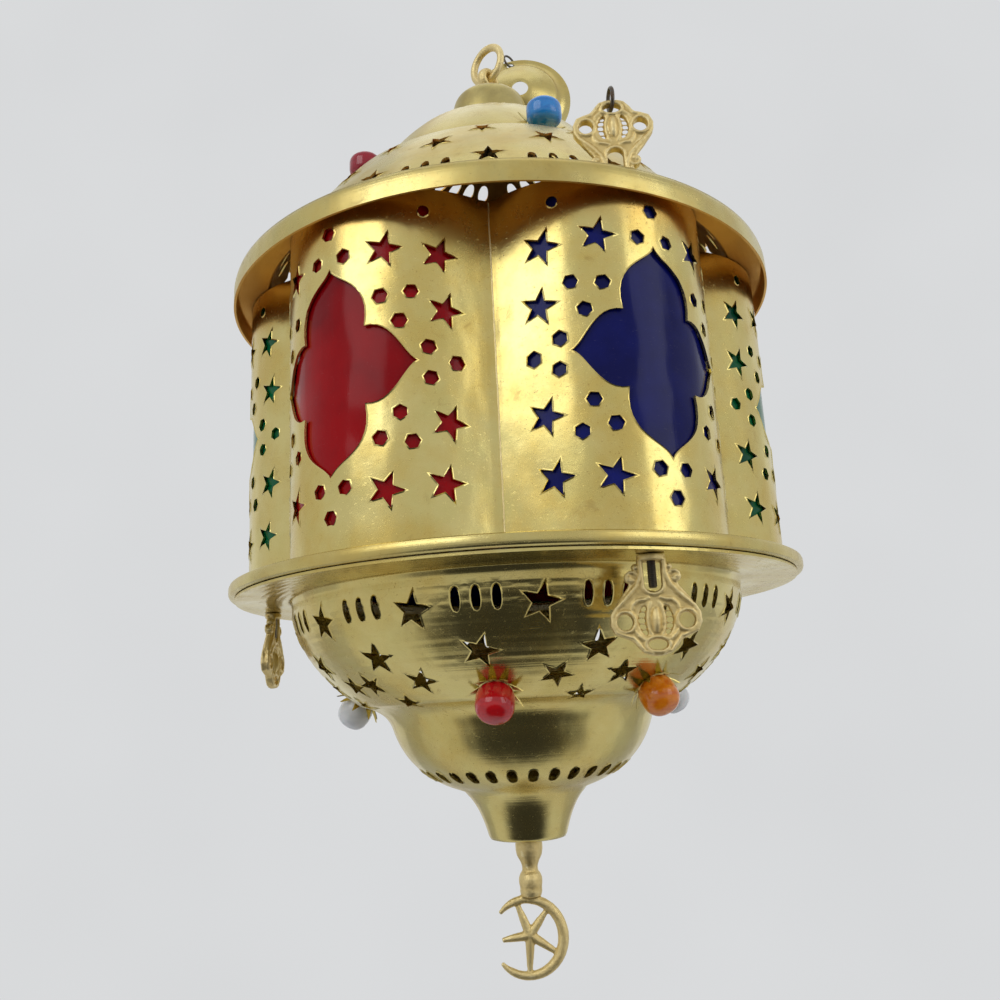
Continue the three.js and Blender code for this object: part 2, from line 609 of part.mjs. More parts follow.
// Finial: a turned stem with a stud through the cup, and a crescent that holds a five-armed star
function finial() {
  const top = CUP_BOTTOM_Z - GAP;
  const stemEnd = CRESCENT_Z + CRESCENT_R - 1;
  const studTop = CUP_BOTTOM_Z + FINIAL_STUD;
  const beads = FINIAL_PROFILE.map(([r, drop]) => [r, top - drop]);
  const profile = [[0, studTop], [FINIAL_STUD_R, studTop], [FINIAL_STUD_R, top], ...beads,
    [FINIAL_NECK_R, stemEnd], [0, stemEnd]];
  const outline = profile.map(([r, z]) => new THREE.Vector2(r, z));
  const stem = new THREE.LatheGeometry(outline, 12).rotateX(Math.PI / 2);
  const reach = 2 * CRESCENT_R;
  const opening = polygon([[0, 0], [-reach, reach * Math.tan(rad(CRESCENT_OPENING))],
    [-reach, -reach * Math.tan(rad(CRESCENT_OPENING))]]);
  const crescent = cut(
    new THREE.CylinderGeometry(CRESCENT_R, CRESCENT_R, FINIAL_THICKNESS, 28),
    new THREE.CylinderGeometry(CRESCENT_HOLLOW_R, CRESCENT_HOLLOW_R, 2 * FINIAL_THICKNESS, 28)
      .translate(-CRESCENT_HOLLOW_SHIFT, 0, 0),
    plate(opening, 2 * FINIAL_THICKNESS),
  );
  const arms = STAR_ARMS.flatMap(([x, z], i) => {
    const [nextX, nextZ] = STAR_ARMS[(i + 1) % STAR_ARMS.length];
    const middle = new THREE.Vector2(x, z).normalize().add(new THREE.Vector2(nextX, nextZ).normalize());
    middle.setLength(STAR_HUB_R);
    return [[x, z], [middle.x, middle.y]];
  });
  const star = plate(polygon(arms), STAR_THICKNESS);
  const figure = join(crescent, star.translate(STAR_CENTRE[0], 0, STAR_CENTRE[1]));
  return join(stem, figure.translate(CRESCENT_X, 0, CRESCENT_Z));
}

// Candle pan: a drip tray that rests in the bowl's lower bulb, with a socket for a candle
function candlePan() {
  const bottom = PAN_Z - SHEET;
  const bowlInside = radiusAt(bowlPath(), bottom) - 1.2 * SHEET;
  const r = bowlInside * Math.cos(Math.PI / ROUND_STEPS) - GAP;
  const rim = r + PAN_RIM / 3;
  const socket = SOCKET_R + SHEET;
  return spun([[0, bottom], [r, bottom], [rim, bottom + PAN_RIM], [rim - SHEET, bottom + PAN_RIM],
    [r - SHEET, PAN_Z], [socket, PAN_Z], [socket, PAN_Z + SOCKET_HEIGHT], [SOCKET_R, PAN_Z + SOCKET_HEIGHT],
    [SOCKET_R, PAN_Z], [0, PAN_Z]], 24);
}

// Canopy: a shallow spun cup on edge, its crown towards the front, with one chain link left in its rim
function addCanopy() {
  const path = [[CANOPY_R, 0], [CANOPY_R - CANOPY_RIM, 0], CANOPY_SIDE, CANOPY_CROWN, CANOPY_FLAT,
    [CANOPY_HOLE_R, CANOPY_FLAT[1]]].map(([r, z]) => new THREE.Vector2(r, z));
  const holeR = CANOPY_R - CANOPY_LINK_INSET;
  const linkHole = cylinder(CANOPY_LINK_HOLE_R, -CANOPY_SIDE[1], CANOPY_FLAT[1]).translate(0, -holeR, 0);
  const cup = cut(spun(sheetOutline(path, SHEET), 24), linkHole.rotateZ(rad(CANOPY_LINK_TURN)));
  const stand = new THREE.Group();
  stand.position.set(CANOPY_SIDE_SHIFT, -CANOPY_AWAY, CANOPY_Z);
  stand.rotation.x = -Math.PI / 2;
  turned(CANOPY_TURN).add(stand);
  add('canopy', cup, brass, stand);
  const link = new THREE.TorusGeometry(CANOPY_LINK_R, CANOPY_LINK_WIRE_R, 5, 12);
  link.rotateY(Math.PI / 2 + rad(CANOPY_LINK_SLANT)).translate(0, -holeR - CANOPY_LINK_R, -SHEET / 2);
  add('canopy_link', link, steel, turned(CANOPY_LINK_TURN, stand));
}

add('base_ring', baseRing(), brass);
const pierced = cut(panelSheet(), windowCutter(), panelPunches());
const linerSheet = liner();
const panelNames = ['front_right', 'right', 'back_right', 'back_left', 'left', 'front_left'];
const panelColours = ['blue', 'green', 'red', 'blue', 'green', 'red'];
panelNames.forEach((name, i) => {
  const place = turned(FIRST_PANEL_TURN + i * PANEL_STEP);
  add(`panel_${name}`, pierced, brass, place);
  add(`liner_${name}`, linerSheet, liners[panelColours[i]], place);
});
add('dome', dome(), brass);
add('bowl', bowl(), brass);
addBeads('dome', domeBeads);
addBeads('bowl', bowlBeads);
add('top_cap', cap(), brass);
const ringPlace = new THREE.Group();
ringPlace.rotation.z = rad(RING_TURN);
lantern.add(ringPlace);
add('ring_eye', eye().rotateZ(Math.PI / 2), castBrass, ringPlace);
add('eye_nut', eyeNut(), steel);
add('hanging_ring', hangingRing().translate(0, 0, RING_Z), castBrass, ringPlace);
addRodSets();
add('crescent_finial', finial(), castBrass);
add('finial_nut', nut(FINIAL_NUT_R, FINIAL_STUD_R, CUP_BOTTOM_Z + SHEET + GAP, FINIAL_NUT_HEIGHT),
  steel);
add('candle_pan', candlePan(), brass);
addCanopy();

export default lantern;
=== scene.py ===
"""A pierced brass hanging lantern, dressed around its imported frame.

Lengths are millimetres, apart from those of materials, lights and camera, which are metres. Heights are
measured from the parting plane between the two flanges, and turns are degrees about the lantern's axis, with
0 towards -Y, the front, and 90 towards +X.
"""
import json
import math
import random

import bmesh
import bpy
import numpy as np
from mathutils import Matrix, Vector, geometry, kdtree, noise

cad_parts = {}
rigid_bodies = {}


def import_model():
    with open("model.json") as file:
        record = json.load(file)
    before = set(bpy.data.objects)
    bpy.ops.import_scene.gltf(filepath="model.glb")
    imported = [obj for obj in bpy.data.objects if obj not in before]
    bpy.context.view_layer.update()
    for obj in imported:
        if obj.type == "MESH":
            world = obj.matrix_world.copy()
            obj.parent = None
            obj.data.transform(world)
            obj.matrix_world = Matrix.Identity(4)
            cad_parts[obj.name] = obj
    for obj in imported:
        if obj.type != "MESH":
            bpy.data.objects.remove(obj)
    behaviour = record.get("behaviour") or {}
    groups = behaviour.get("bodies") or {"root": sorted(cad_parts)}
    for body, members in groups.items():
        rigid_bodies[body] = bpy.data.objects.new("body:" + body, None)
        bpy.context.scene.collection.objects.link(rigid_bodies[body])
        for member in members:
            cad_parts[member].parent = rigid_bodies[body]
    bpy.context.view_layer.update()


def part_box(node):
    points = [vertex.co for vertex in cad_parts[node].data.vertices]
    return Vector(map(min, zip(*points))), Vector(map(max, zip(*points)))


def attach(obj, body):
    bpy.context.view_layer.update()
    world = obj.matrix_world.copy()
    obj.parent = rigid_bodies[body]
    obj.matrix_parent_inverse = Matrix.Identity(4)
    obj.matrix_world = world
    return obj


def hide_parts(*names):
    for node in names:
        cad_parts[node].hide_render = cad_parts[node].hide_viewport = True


for leftover in list(bpy.data.objects):
    bpy.data.objects.remove(leftover)
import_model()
rng = random.Random(7)
noise.seed_set(7)

MM = 0.001
HANG_Z = 228.1
SHEET = 0.8
PANEL_SHEET = 0.7

# meshes


def rad(degrees):
    return math.radians(degrees)


def turn_point(point, turn):
    """A point in lantern millimetres, turned about the axis."""
    c, s = math.cos(rad(turn)), math.sin(rad(turn))
    x, y, z = point
    return Vector((x * c - y * s, x * s + y * c, z))


def metres(point):
    return Vector((point[0] * MM, point[1] * MM, (point[2] - HANG_Z) * MM))


def linked(name, data):
    """A new object in the scene."""
    obj = bpy.data.objects.new(name, data)
    bpy.context.scene.collection.objects.link(obj)
    return obj


def piece(name, points, faces, material, body="root", slot="brass", replaces=(), normals=None):
    """A mesh object from points in lantern millimetres, riding on a body."""
    mesh = bpy.data.meshes.new(name)
    mesh.from_pydata([metres(p) for p in points], [], faces)
    mesh.materials.append(material)
    mesh.polygons.foreach_set("use_smooth", [True] * len(mesh.polygons))
    if normals is not None:
        mesh.normals_split_custom_set(normals)
    mesh.update()
    obj = linked(name, mesh)
    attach(obj, body)
    if replaces:
        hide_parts(*replaces)
    return obj


def circle(steps):
    """Angles once round, in radians."""
    return [2 * math.pi * k / steps for k in range(steps)]


def skin(rings, closed=False):
    """A surface through rings of equally many points; closed joins the last ring to the first."""
    n = len(rings[0])
    faces = []
    for i in range(len(rings) if closed else len(rings) - 1):
        j = (i + 1) % len(rings)
        faces += [(i * n + k, j * n + k, j * n + (k + 1) % n, i * n + (k + 1) % n) for k in range(n)]
    return [Vector(p) for ring in rings for p in ring], faces


def resample(loop, step):
    """The loop with its corners kept and its sides cut to at most step."""
    out = []
    for i, a in enumerate(loop):
        b = loop[(i + 1) % len(loop)]
        n = max(1, math.ceil(math.dist(a, b) / step))
        out += [(a[0] + (b[0] - a[0]) * k / n, a[1] + (b[1] - a[1]) * k / n) for k in range(n)]
    return out


def ccw(loop):
    area = sum(a[0] * b[1] - b[0] * a[1] for a, b in zip(loop, loop[1:] + loop[:1]))
    return loop if area > 0 else loop[::-1]


def outward(loop):
    """For each corner of a counterclockwise loop, the way out, longer where the corner is sharp."""
    out = []
    for before, p, after in zip(loop[-1:] + loop[:-1], loop, loop[1:] + loop[:1]):
        arriving = (Vector(p) - Vector(before)).normalized()
        leaving = (Vector(after) - Vector(p)).normalized()
        normal = Vector((arriving.y + leaving.y, -arriving.x - leaving.x))
        out.append(normal.normalized() * (2 / max(normal.length, 0.9)))
    return out


def inside(points, loop):
    """Which of the points lie in the loop."""
    x, y = points[:, 0], points[:, 1]
    hit = np.zeros(len(points), bool)
    for (x0, y0), (x1, y1) in zip(loop, loop[1:] + loop[:1]):
        if y0 == y1:
            continue
        cross = (y0 > y) != (y1 > y)
        hit ^= cross & (x < (x1 - x0) * (y - y0) / (y1 - y0) + x0)
    return hit


HOLE_LIP = 0.55
HOLE_CLEAR = 0.75


def without(points, keep, holes):
    """Clears keep for the points that lie in a hole."""
    for hole in holes:
        low, high = np.min(hole, 0), np.max(hole, 0)
        near = np.where(np.all((points > low) & (points < high), 1))[0]
        if len(near):
            keep[near[inside(points[near], hole)]] = False
    return keep


def pierce(outline, holes, grid):
    """Triangles of a flat region with holes. Returns its points, its triangles, the way into the hole
    for each point on a rim, and for each outline point its place in the outline."""
    points, edges, tags = [], [], []

    def loop_in(loop, tag_list):
        first = len(points)
        points.extend(Vector(p) for p in loop)
        tags.extend(tag_list)
        edges.extend((first + i, first + (i + 1) % len(loop)) for i in range(len(loop)))

    loop_in(outline, [("outline", i) for i in range(len(outline))])
    for hole in holes:
        way = outward(hole)
        loop_in(hole, [("rim", -w.normalized()) for w in way])
        loop_in([Vector(p) + w * HOLE_LIP for p, w in zip(hole, way)], [None] * len(hole))
    tree = kdtree.KDTree(len(points))
    for i, p in enumerate(points):
        tree.insert((p.x, p.y, 0), i)
    tree.balance()
    candidates = np.array(grid, float)
    for p in candidates[without(candidates, np.ones(len(candidates), bool), holes)]:
        if tree.find((p[0], p[1], 0))[2] > HOLE_CLEAR:
            points.append(Vector(p))
            tags.append(None)
    out, _, faces, origin, _, _ = geometry.delaunay_2d_cdt(points, edges, [], 1, 1e-6, True)
    flat = np.array([(p.x, p.y) for p in out])
    corners = np.array(faces)
    centres = flat[corners].mean(1)
    solid = without(centres, inside(centres, outline), holes)
    found = {"rim": {}, "outline": {}}
    for i, sources in enumerate(origin):
        for kind, value in filter(None, (tags[source] for source in sources)):
            found[kind][i] = value
    return flat, corners[solid], found["rim"], found["outline"]


RIM_SLOPE = 0.9


def sheet(flat, triangles, rims, surface, thickness, burr, merged=None):
    """A thin solid sheet over the flat triangles. surface(u, v) gives a point, its normal, and the two
    ways along the sheet. Rims of holes stand up by burr. merged maps points to the one they coincide with."""
    merged = merged or {}
    outer, inner, up = [], [], []
    for i, (u, v) in enumerate(flat):
        point, normal, along_u, along_v = surface(u, v)
        base = point - normal * thickness
        if i in rims:
            way = along_u * rims[i].x + along_v * rims[i].y
            lift = burr * (0.75 + 0.5 * noise.noise(point * 0.9))
            point = point + normal * lift
            base = base + normal * lift * 0.8
            normal = (normal - way * RIM_SLOPE).normalized()
        outer.append(point)
        inner.append(base)
        up.append(normal)
    count = len(flat)
    points = outer + inner
    faces, normals, ends = [], [], {}
    for tri in triangles.tolist():
        a, b, c = (merged.get(i, i) for i in tri)
        if a == b or b == c or c == a:
            continue
        if (outer[b] - outer[a]).cross(outer[c] - outer[a]).dot(up[a] + up[b] + up[c]) < 0:
            b, c = c, b
        faces += [(a, b, c), (count + c, count + b, count + a)]
        normals += [up[a], up[b], up[c], -up[c], -up[b], -up[a]]
        for p, q in ((a, b), (b, c), (c, a)):
            if ends.pop((q, p), None) is None:
                ends[(p, q)] = True
    for p, q in ends:
        faces.append((q, p, count + p, count + q))
        normals += [(outer[p] - outer[q]).cross(inner[p] - outer[q]).normalized()] * 4
    used = sorted({i for face in faces for i in face})
    place = {old: new for new, old in enumerate(used)}
    return [points[i] for i in used], [tuple(place[i] for i in f) for f in faces], normals


HOLE_STEP = 1.3


def star_loop(radius, inner, turn, squeeze=0.0):
    loop = []
    for k in range(10):
        r = (radius if k % 2 == 0 else inner) * (1 + squeeze * rng.uniform(-1, 1))
        a = rad(turn + 36 * k)
        loop.append((r * math.sin(a), r * math.cos(a)))
    return resample(ccw(loop), HOLE_STEP)


def hex_loop(radius, turn):
    corners = [rad(turn + 60 * k) for k in range(6)]
    return resample(ccw([(radius * math.sin(a), radius * math.cos(a)) for a in corners]), HOLE_STEP)


def round_loop(radius, count=14, flat=1.0):
    return ccw([(radius * math.sin(a), radius * math.cos(a) * flat) for a in circle(count)])


def almond_loop(half_width, half_length):
    angles = [math.pi * k / 7 for k in range(7)]
    side = [(half_width * math.sin(a) ** 0.8, half_length * math.cos(a)) for a in angles]
    return ccw(side + [(-x, -y) for x, y in side])


def bezier(a, b, c, d, steps):
    return [tuple((1 - t) ** 3 * p + 3 * (1 - t) ** 2 * t * q + 3 * (1 - t) * t * t * r + t ** 3 * s
                  for p, q, r, s in zip(a, b, c, d)) for t in (k / steps for k in range(steps))]


def arc(a, b, c, steps=14):
    """Points after a of the quadratic curve from a by b to c."""
    return [tuple((1 - t) ** 2 * p + 2 * t * (1 - t) * q + t * t * r for p, q, r in zip(a, b, c))
            for t in ((k + 1) / steps for k in range(steps))]


# surfaces of revolution


class Profile:
    """A path of [radius, height] points, measured along its length, with rounded normals."""

    def __init__(self, path):
        self.path = np.array(path, float)
        steps = np.diff(self.path, axis=0)
        lengths = np.hypot(steps[:, 0], steps[:, 1])
        self.s = np.concatenate([[0], np.cumsum(lengths)])
        normals = np.stack([steps[:, 1], -steps[:, 0]], 1) / lengths[:, None]
        joined = np.vstack([normals[:1], normals[:-1] + normals[1:], normals[-1:]])
        self.normals = joined / np.linalg.norm(joined, axis=1)[:, None]

    def at(self, s):
        r = np.interp(s, self.s, self.path[:, 0])
        z = np.interp(s, self.s, self.path[:, 1])
        nr = np.interp(s, self.s, self.normals[:, 0])
        nz = np.interp(s, self.s, self.normals[:, 1])
        size = math.hypot(nr, nz)
        return r, z, nr / size, nz / size

    def crossings(self, axis, value):
        """The lengths along the path where its radius, axis 0, or its height, axis 1, passes a value."""
        column = self.path[:, axis]
        hits = []
        for i, (a, b) in enumerate(zip(column, column[1:])):
            if (a - value) * (b - value) <= 0 and a != b:
                hits.append(self.s[i] + (value - a) / (b - a) * (self.s[i + 1] - self.s[i]))
        return hits

    def find(self, z):
        """The length where the path first passes a height."""
        return self.crossings(1, z)[0]

    def find_r(self, r, near):
        """The length where the path passes a radius, nearest to a known length."""
        return min(self.crossings(0, r), key=lambda s: abs(s - near))


UNROLL_R = 70.0


def revolve(profile, holes, seam, pitch, row_steps, burr, fixed=None):
    """A pierced shell. holes are (turn, length along the profile, loop); seam is a list of
    (length, turn) where the flat pattern is parted; row_steps maps a length to the grid's pitch."""
    reach = profile.s[-1]
    around = 2 * math.pi * UNROLL_R
    seam_s, seam_t = zip(*seam)

    def seam_u(s):
        """The seam's place; a slanted stretch bows a little, so that no three of its points lie in line."""
        k = min(np.searchsorted(seam_s, s, side="right"), len(seam) - 1)
        share = (s - seam_s[k - 1]) / (seam_s[k] - seam_s[k - 1])
        slant = seam_t[k] - seam_t[k - 1]
        bow = 0.3 * math.sin(math.pi * share) if slant else 0
        return rad(seam_t[k - 1] + slant * share + bow) * UNROLL_R - around

    rows = [0.0]
    while rows[-1] < reach - 1e-6:
        step = row_steps(rows[-1])
        ahead = min(rows[-1] + step, reach)
        passed = [b for b in profile.s[1:] if rows[-1] + 0.25 * step < b <= ahead]
        rows.append(passed[-1] if passed else ahead)

    def columns(s, shift=0.0):
        """Places round the shell at one length; a fixed count stands still where the seam slants."""
        start = seam_u(s)
        if not fixed:
            steps = max(24, int(2 * math.pi * profile.at(s)[0] / pitch))
            return [(start + around * (k + shift) / steps, s) for k in range(1, steps)]
        width = around / fixed
        first = math.floor(start / width) + 1
        places = [width * (first + k) for k in range(fixed)]
        return [(u, s) for u in places if 0.2 * width < u - start < around - 0.2 * width]

    left = [(seam_u(s), s) for s in rows]
    right = [(u + around, s) for u, s in left]
    bottom, top = columns(0.0), columns(reach)
    outline = left[:1] + bottom + right + top[::-1] + left[:0:-1]
    first_right = 1 + len(bottom)
    pair = {first_right + k: -k % len(outline) for k in range(len(left))}
    grid = []
    for j, s in enumerate(rows[1:-1]):
        grid += columns(s, 0.5 * (j % 2))
    loops = []
    for turn, s, loop in holes:
        stretch = UNROLL_R / profile.at(s)[0]
        u = seam_u(s) + (rad(turn) * UNROLL_R - seam_u(s)) % around
        shaped = [(u + a * stretch, s + b) for a, b in loop]
        gap = min(min(p[0] - seam_u(p[1]), seam_u(p[1]) + around - p[0]) for p in shaped)
        # a hole that the seam would cut is left out
        if gap > 0.7 * stretch:
            loops.append(shaped)

    def surface(u, s):
        r, z, nr, nz = profile.at(s)
        sin, cos = math.sin(u / UNROLL_R), math.cos(u / UNROLL_R)
        point, normal = Vector((r * sin, -r * cos, z)), Vector((nr * sin, -nr * cos, nz))
        return point, normal, Vector((cos, sin, 0)), Vector((-nz * sin, nz * cos, nr))

    flat, triangles, rims, borders = pierce(outline, loops, grid)
    by_outline = {o: i for i, o in borders.items()}
    merged = {by_outline[r]: by_outline[l] for r, l in pair.items() if r in by_outline and l in by_outline}
    return sheet(flat, triangles, rims, surface, SHEET, burr, merged)


def lathe(outline, steps=96, wobble=0.0):
    """A closed solid of revolution from a closed outline of [radius, height] points."""
    rings = []
    for a in circle(steps):
        ring = []
        for r, z in outline:
            rough_r = r * (1 + wobble * noise.noise(Vector((math.cos(a), math.sin(a), z * 0.1))))
            ring.append((rough_r * math.sin(a), -rough_r * math.cos(a), z))
        rings.append(ring)
    points, faces = skin(rings, True)
    n = len(outline)
    on_axis = [r < 1e-6 for r, _ in outline]
    return points, [f for f in faces if not (on_axis[f[0] % n] and on_axis[f[2] % n])]


def clean(obj, sharp=35):
    """Merges coinciding points, drops empty faces, turns faces outwards and keeps creases sharp."""
    bm = bmesh.new()
    bm.from_mesh(obj.data)
    bmesh.ops.remove_doubles(bm, verts=bm.verts, dist=1e-7)
    bmesh.ops.dissolve_degenerate(bm, edges=bm.edges, dist=1e-8)
    bmesh.ops.recalc_face_normals(bm, faces=bm.faces)
    for edge in bm.edges:
        if len(edge.link_faces) == 2:
            edge.smooth = edge.calc_face_angle(0) < rad(sharp)
    bm.to_mesh(obj.data)
    bm.free()
    obj.data.polygons.foreach_set("use_smooth", [True] * len(obj.data.polygons))
    obj.data.update()
    return obj


def evaluated(obj):
    """A new mesh of an object as it stands, with its modifiers or bevels."""
    depsgraph = bpy.context.evaluated_depsgraph_get()
    return bpy.data.meshes.new_from_object(obj.evaluated_get(depsgraph), depsgraph=depsgraph)


def apply(obj, kind, **settings):
    """Adds a modifier and applies it to the mesh."""
    modifier = obj.modifiers.new(kind.lower(), kind)
    for key, value in settings.items():
        setattr(modifier, key, value)
    mesh = evaluated(obj)
    obj.modifiers.clear()
    obj.data = mesh


def tube(path, radii, sides=10, closed=False):
    """A round bar along a path, with capped ends where it isn't closed."""
    path = [Vector(p) for p in path]
    n = len(path)
    if not isinstance(radii, list):
        radii = [radii] * n
    ref = Vector((0, 0, 1)) if abs((path[1] - path[0]).normalized().z) < 0.9 else Vector((1, 0, 0))
    rings = []
    for i, p in enumerate(path):
        before, after = (i - 1, (i + 1) % n) if closed else (max(i - 1, 0), min(i + 1, n - 1))
        way = (path[after] - path[before]).normalized()
        side = way.cross(ref).normalized()
        ref = side.cross(way).normalized()
        rings.append([p + side * (radii[i] * math.cos(a)) + ref * (radii[i] * math.sin(a))
                      for a in circle(sides)])
    points, faces = skin(rings, closed)
    if not closed:
        faces += [tuple(range(sides))[::-1], tuple(range((n - 1) * sides, n * sides))]
    return points, faces


def ball(centre, sizes, rings=12, segments=20):
    """An ellipsoid of rings between two poles."""
    c = Vector(centre)
    x, y, z = sizes
    levels = []
    for i in range(1, rings):
        out, rise = math.sin(math.pi * i / rings), z * math.cos(math.pi * i / rings)
        levels.append([c + Vector((x * out * math.cos(b), y * out * math.sin(b), rise))
                       for b in circle(segments)])
    points, faces = skin(levels)
    top, last = len(points), (rings - 2) * segments
    points += [c + Vector((0, 0, z)), c - Vector((0, 0, z))]
    for k in range(segments):
        m = (k + 1) % segments
        faces += [(top, k, m), (top + 1, last + m, last + k)]
    return points, faces


def gather(*shapes):
    """Several shapes as one list of points and faces."""
    points, faces = [], []
    for more_points, more_faces in shapes:
        first = len(points)
        points += [Vector(p) for p in more_points]
        faces += [tuple(first + i for i in face) for face in more_faces]
    return points, faces


def moved(shape, change):
    points, faces = shape
    return [change(Vector(p)) for p in points], faces


def stretched(shape, x, y):
    return moved(shape, lambda p: Vector((p.x * x, p.y * y, p.z)))


# materials


class Nodes:
    """Builds shader nodes in one tree; sockets are passed on between the calls."""

    def __init__(self, tree, place):
        self.tree = tree
        self.place = self.add("ShaderNodeTexCoord").outputs[place]

    def add(self, kind, settings=None, **sockets):
        node = self.tree.nodes.new(kind)
        for key, value in (settings or {}).items():
            setattr(node, key, value)
        for key, value in sockets.items():
            self.put(node.inputs[key.replace("_", " ")], value)
        return node

    def put(self, socket, value):
        if isinstance(value, bpy.types.NodeSocket):
            self.tree.links.new(value, socket)
        else:
            socket.default_value = value

    def scaled(self, scale, rotation=(0, 0, 0)):
        turns = [rad(a) for a in rotation]
        return self.add("ShaderNodeMapping", Vector=self.place, Rotation=turns, Scale=scale).outputs["Vector"]

    def noise(self, scale, detail=3.0, rough=0.55, vector=None, distortion=0.0):
        node = self.add("ShaderNodeTexNoise", Scale=scale, Detail=detail, Roughness=rough,
                        Distortion=distortion, Vector=vector or self.place)
        return node.outputs["Fac"]

    def cells(self, scale):
        return self.add("ShaderNodeTexVoronoi", Scale=scale, Vector=self.place).outputs["Distance"]

    def ramp(self, value, low, high, from_value=0.0, to_value=1.0, kind="LINEAR"):
        node = self.add("ShaderNodeMapRange", {"interpolation_type": kind}, Value=value, From_Min=low,
                        From_Max=high, To_Min=from_value, To_Max=to_value)
        return node.outputs["Result"]

    def math(self, operation, a, b=0.0):
        node = self.add("ShaderNodeMath", {"operation": operation})
        self.put(node.inputs[0], a)
        self.put(node.inputs[1], b)
        return node.outputs[0]

    def plus(self, a, b):
        return self.math("ADD", a, b)

    def times(self, a, b):
        return self.math("MULTIPLY", a, b)

    def most(self, a, b):
        return self.math("MAXIMUM", a, b)

    def mix(self, factor, a, b):
        node = self.add("ShaderNodeMix", {"data_type": "RGBA"})
        self.put(node.inputs["Factor"], factor)
        for socket, value in ((node.inputs[6], a), (node.inputs[7], b)):
            self.put(socket, value if isinstance(value, bpy.types.NodeSocket) else (*value, 1))
        return node.outputs[2]

    def axis(self, name):
        return self.add("ShaderNodeSeparateXYZ", Vector=self.place).outputs[name]

    def spin_lines(self, scale):
        """Noise that changes only with distance from the lantern's axis and with height."""
        x, y = self.axis("X"), self.axis("Y")
        r = self.math("SQRT", self.plus(self.times(x, x), self.times(y, y)))
        return self.noise(scale, 2.0, 0.6, self.add("ShaderNodeCombineXYZ", X=r, Y=self.axis("Z")).outputs[0])

    def bump(self, height, distance, strength=1.0, normal=None):
        node = self.add("ShaderNodeBump", Height=height, Distance=distance, Strength=strength)
        if normal is not None:
            self.put(node.inputs["Normal"], normal)
        return node.outputs["Normal"]


class Paint(Nodes):
    """One material."""

    def __init__(self, name):
        self.material = bpy.data.materials.new(name)
        self.material.use_nodes = True
        super().__init__(self.material.node_tree, "Object")
        self.shader = self.tree.nodes["Principled BSDF"]

    def finish(self, **sockets):
        for key, value in sockets.items():
            socket = self.shader.inputs[key.replace("_", " ")]
            self.put(socket, (*value, 1) if isinstance(value, tuple) and socket.type == "RGBA" else value)
        return self.material


BRASS_LIGHT = (0.78, 0.665, 0.265)
BRASS_WARM = (0.70, 0.535, 0.16)
BRASS_GREEN = (0.69, 0.615, 0.225)
TARNISH = (0.30, 0.17, 0.05)
PATINA = (0.36, 0.29, 0.12)


def sheet_brass(name, spun, rough, waves, shade_heights=None, patina=0.0, shade_colour=(0.62, 0.34, 0.07)):
    """Worn sheet brass: blotches, specks, scratches, spin or rolling lines, hammer waves, painted shade of a
    darker amber that grows between two heights, and a dull patina in patches."""
    p = Paint(name)
    blotch = p.noise(38, 5, 0.62)
    tint = p.mix(p.ramp(blotch, 0.38, 0.62), BRASS_LIGHT, BRASS_WARM)
    tint = p.mix(p.ramp(p.noise(95, 4), 0.45, 0.75, 0, 0.55), tint, BRASS_GREEN)
    specks = p.ramp(p.noise(1300, 3, 0.7), 0.63, 0.7)
    stains = p.ramp(p.noise(150, 6, 0.75, distortion=0.6), 0.60, 0.74)
    dirt = p.most(p.times(specks, p.ramp(blotch, 0.35, 0.6, 0.15, 0.8)), p.times(stains, 0.65))
    tint = p.mix(p.times(dirt, 0.62), tint, TARNISH)
    # painted shade: between two heights the colour turns to a darker amber, standing in for the shade under
    # the brim
    if shade_heights:
        height = p.plus(p.axis("Z"), p.times(p.noise(60, 4), 0.012))
        shade = p.ramp(height, shade_heights[0] + 0.006, shade_heights[1] + 0.006)
        tint = p.mix(p.times(shade, 0.8), tint, shade_colour)
    if patina:
        dull = p.ramp(p.noise(52, 6, 0.7, distortion=0.4), 0.36, 0.64, 0.35 * patina, patina)
        tint = p.mix(dull, tint, PATINA)
    if spun:
        lines = p.plus(p.times(p.spin_lines(1500), 0.7), p.times(p.spin_lines(5200), 0.3))
    else:
        coarse = p.noise(1.0, 3, 0.7, p.scaled((420, 420, 26)))
        fine = p.noise(1.0, 2, 0.7, p.scaled((2600, 2600, 160), (4, 3, 0)))
        lines = p.plus(p.times(coarse, 0.35), p.times(fine, 0.25))
    marks = p.most(p.ramp(p.noise(1.0, 4, 0.8, p.scaled((700, 60, 900), (31, 12, 40))), 0.62, 0.72),
                   p.ramp(p.noise(1.0, 4, 0.8, p.scaled((50, 800, 700), (-24, 18, 10))), 0.63, 0.72))
    roughness = p.plus(p.ramp(blotch, 0.3, 0.7, rough * 0.75, rough * 1.35),
                       p.plus(p.times(dirt, 0.2), p.times(marks, 0.1)))
    normal = p.bump(lines, 0.00006 if spun else 0.00003, 0.9 if spun else 0.5)
    if waves:
        normal = p.bump(p.noise(1.0, 2, 0.45, p.scaled((55, 55, 30))), waves, 1.0, normal)
    normal = p.bump(p.noise(420, 4, 0.6), 0.00005, 0.5, normal)
    normal = p.bump(marks, 0.00003, 0.6, normal)
    return p.finish(Base_Color=tint, Metallic=1.0, Roughness=roughness, Normal=normal)


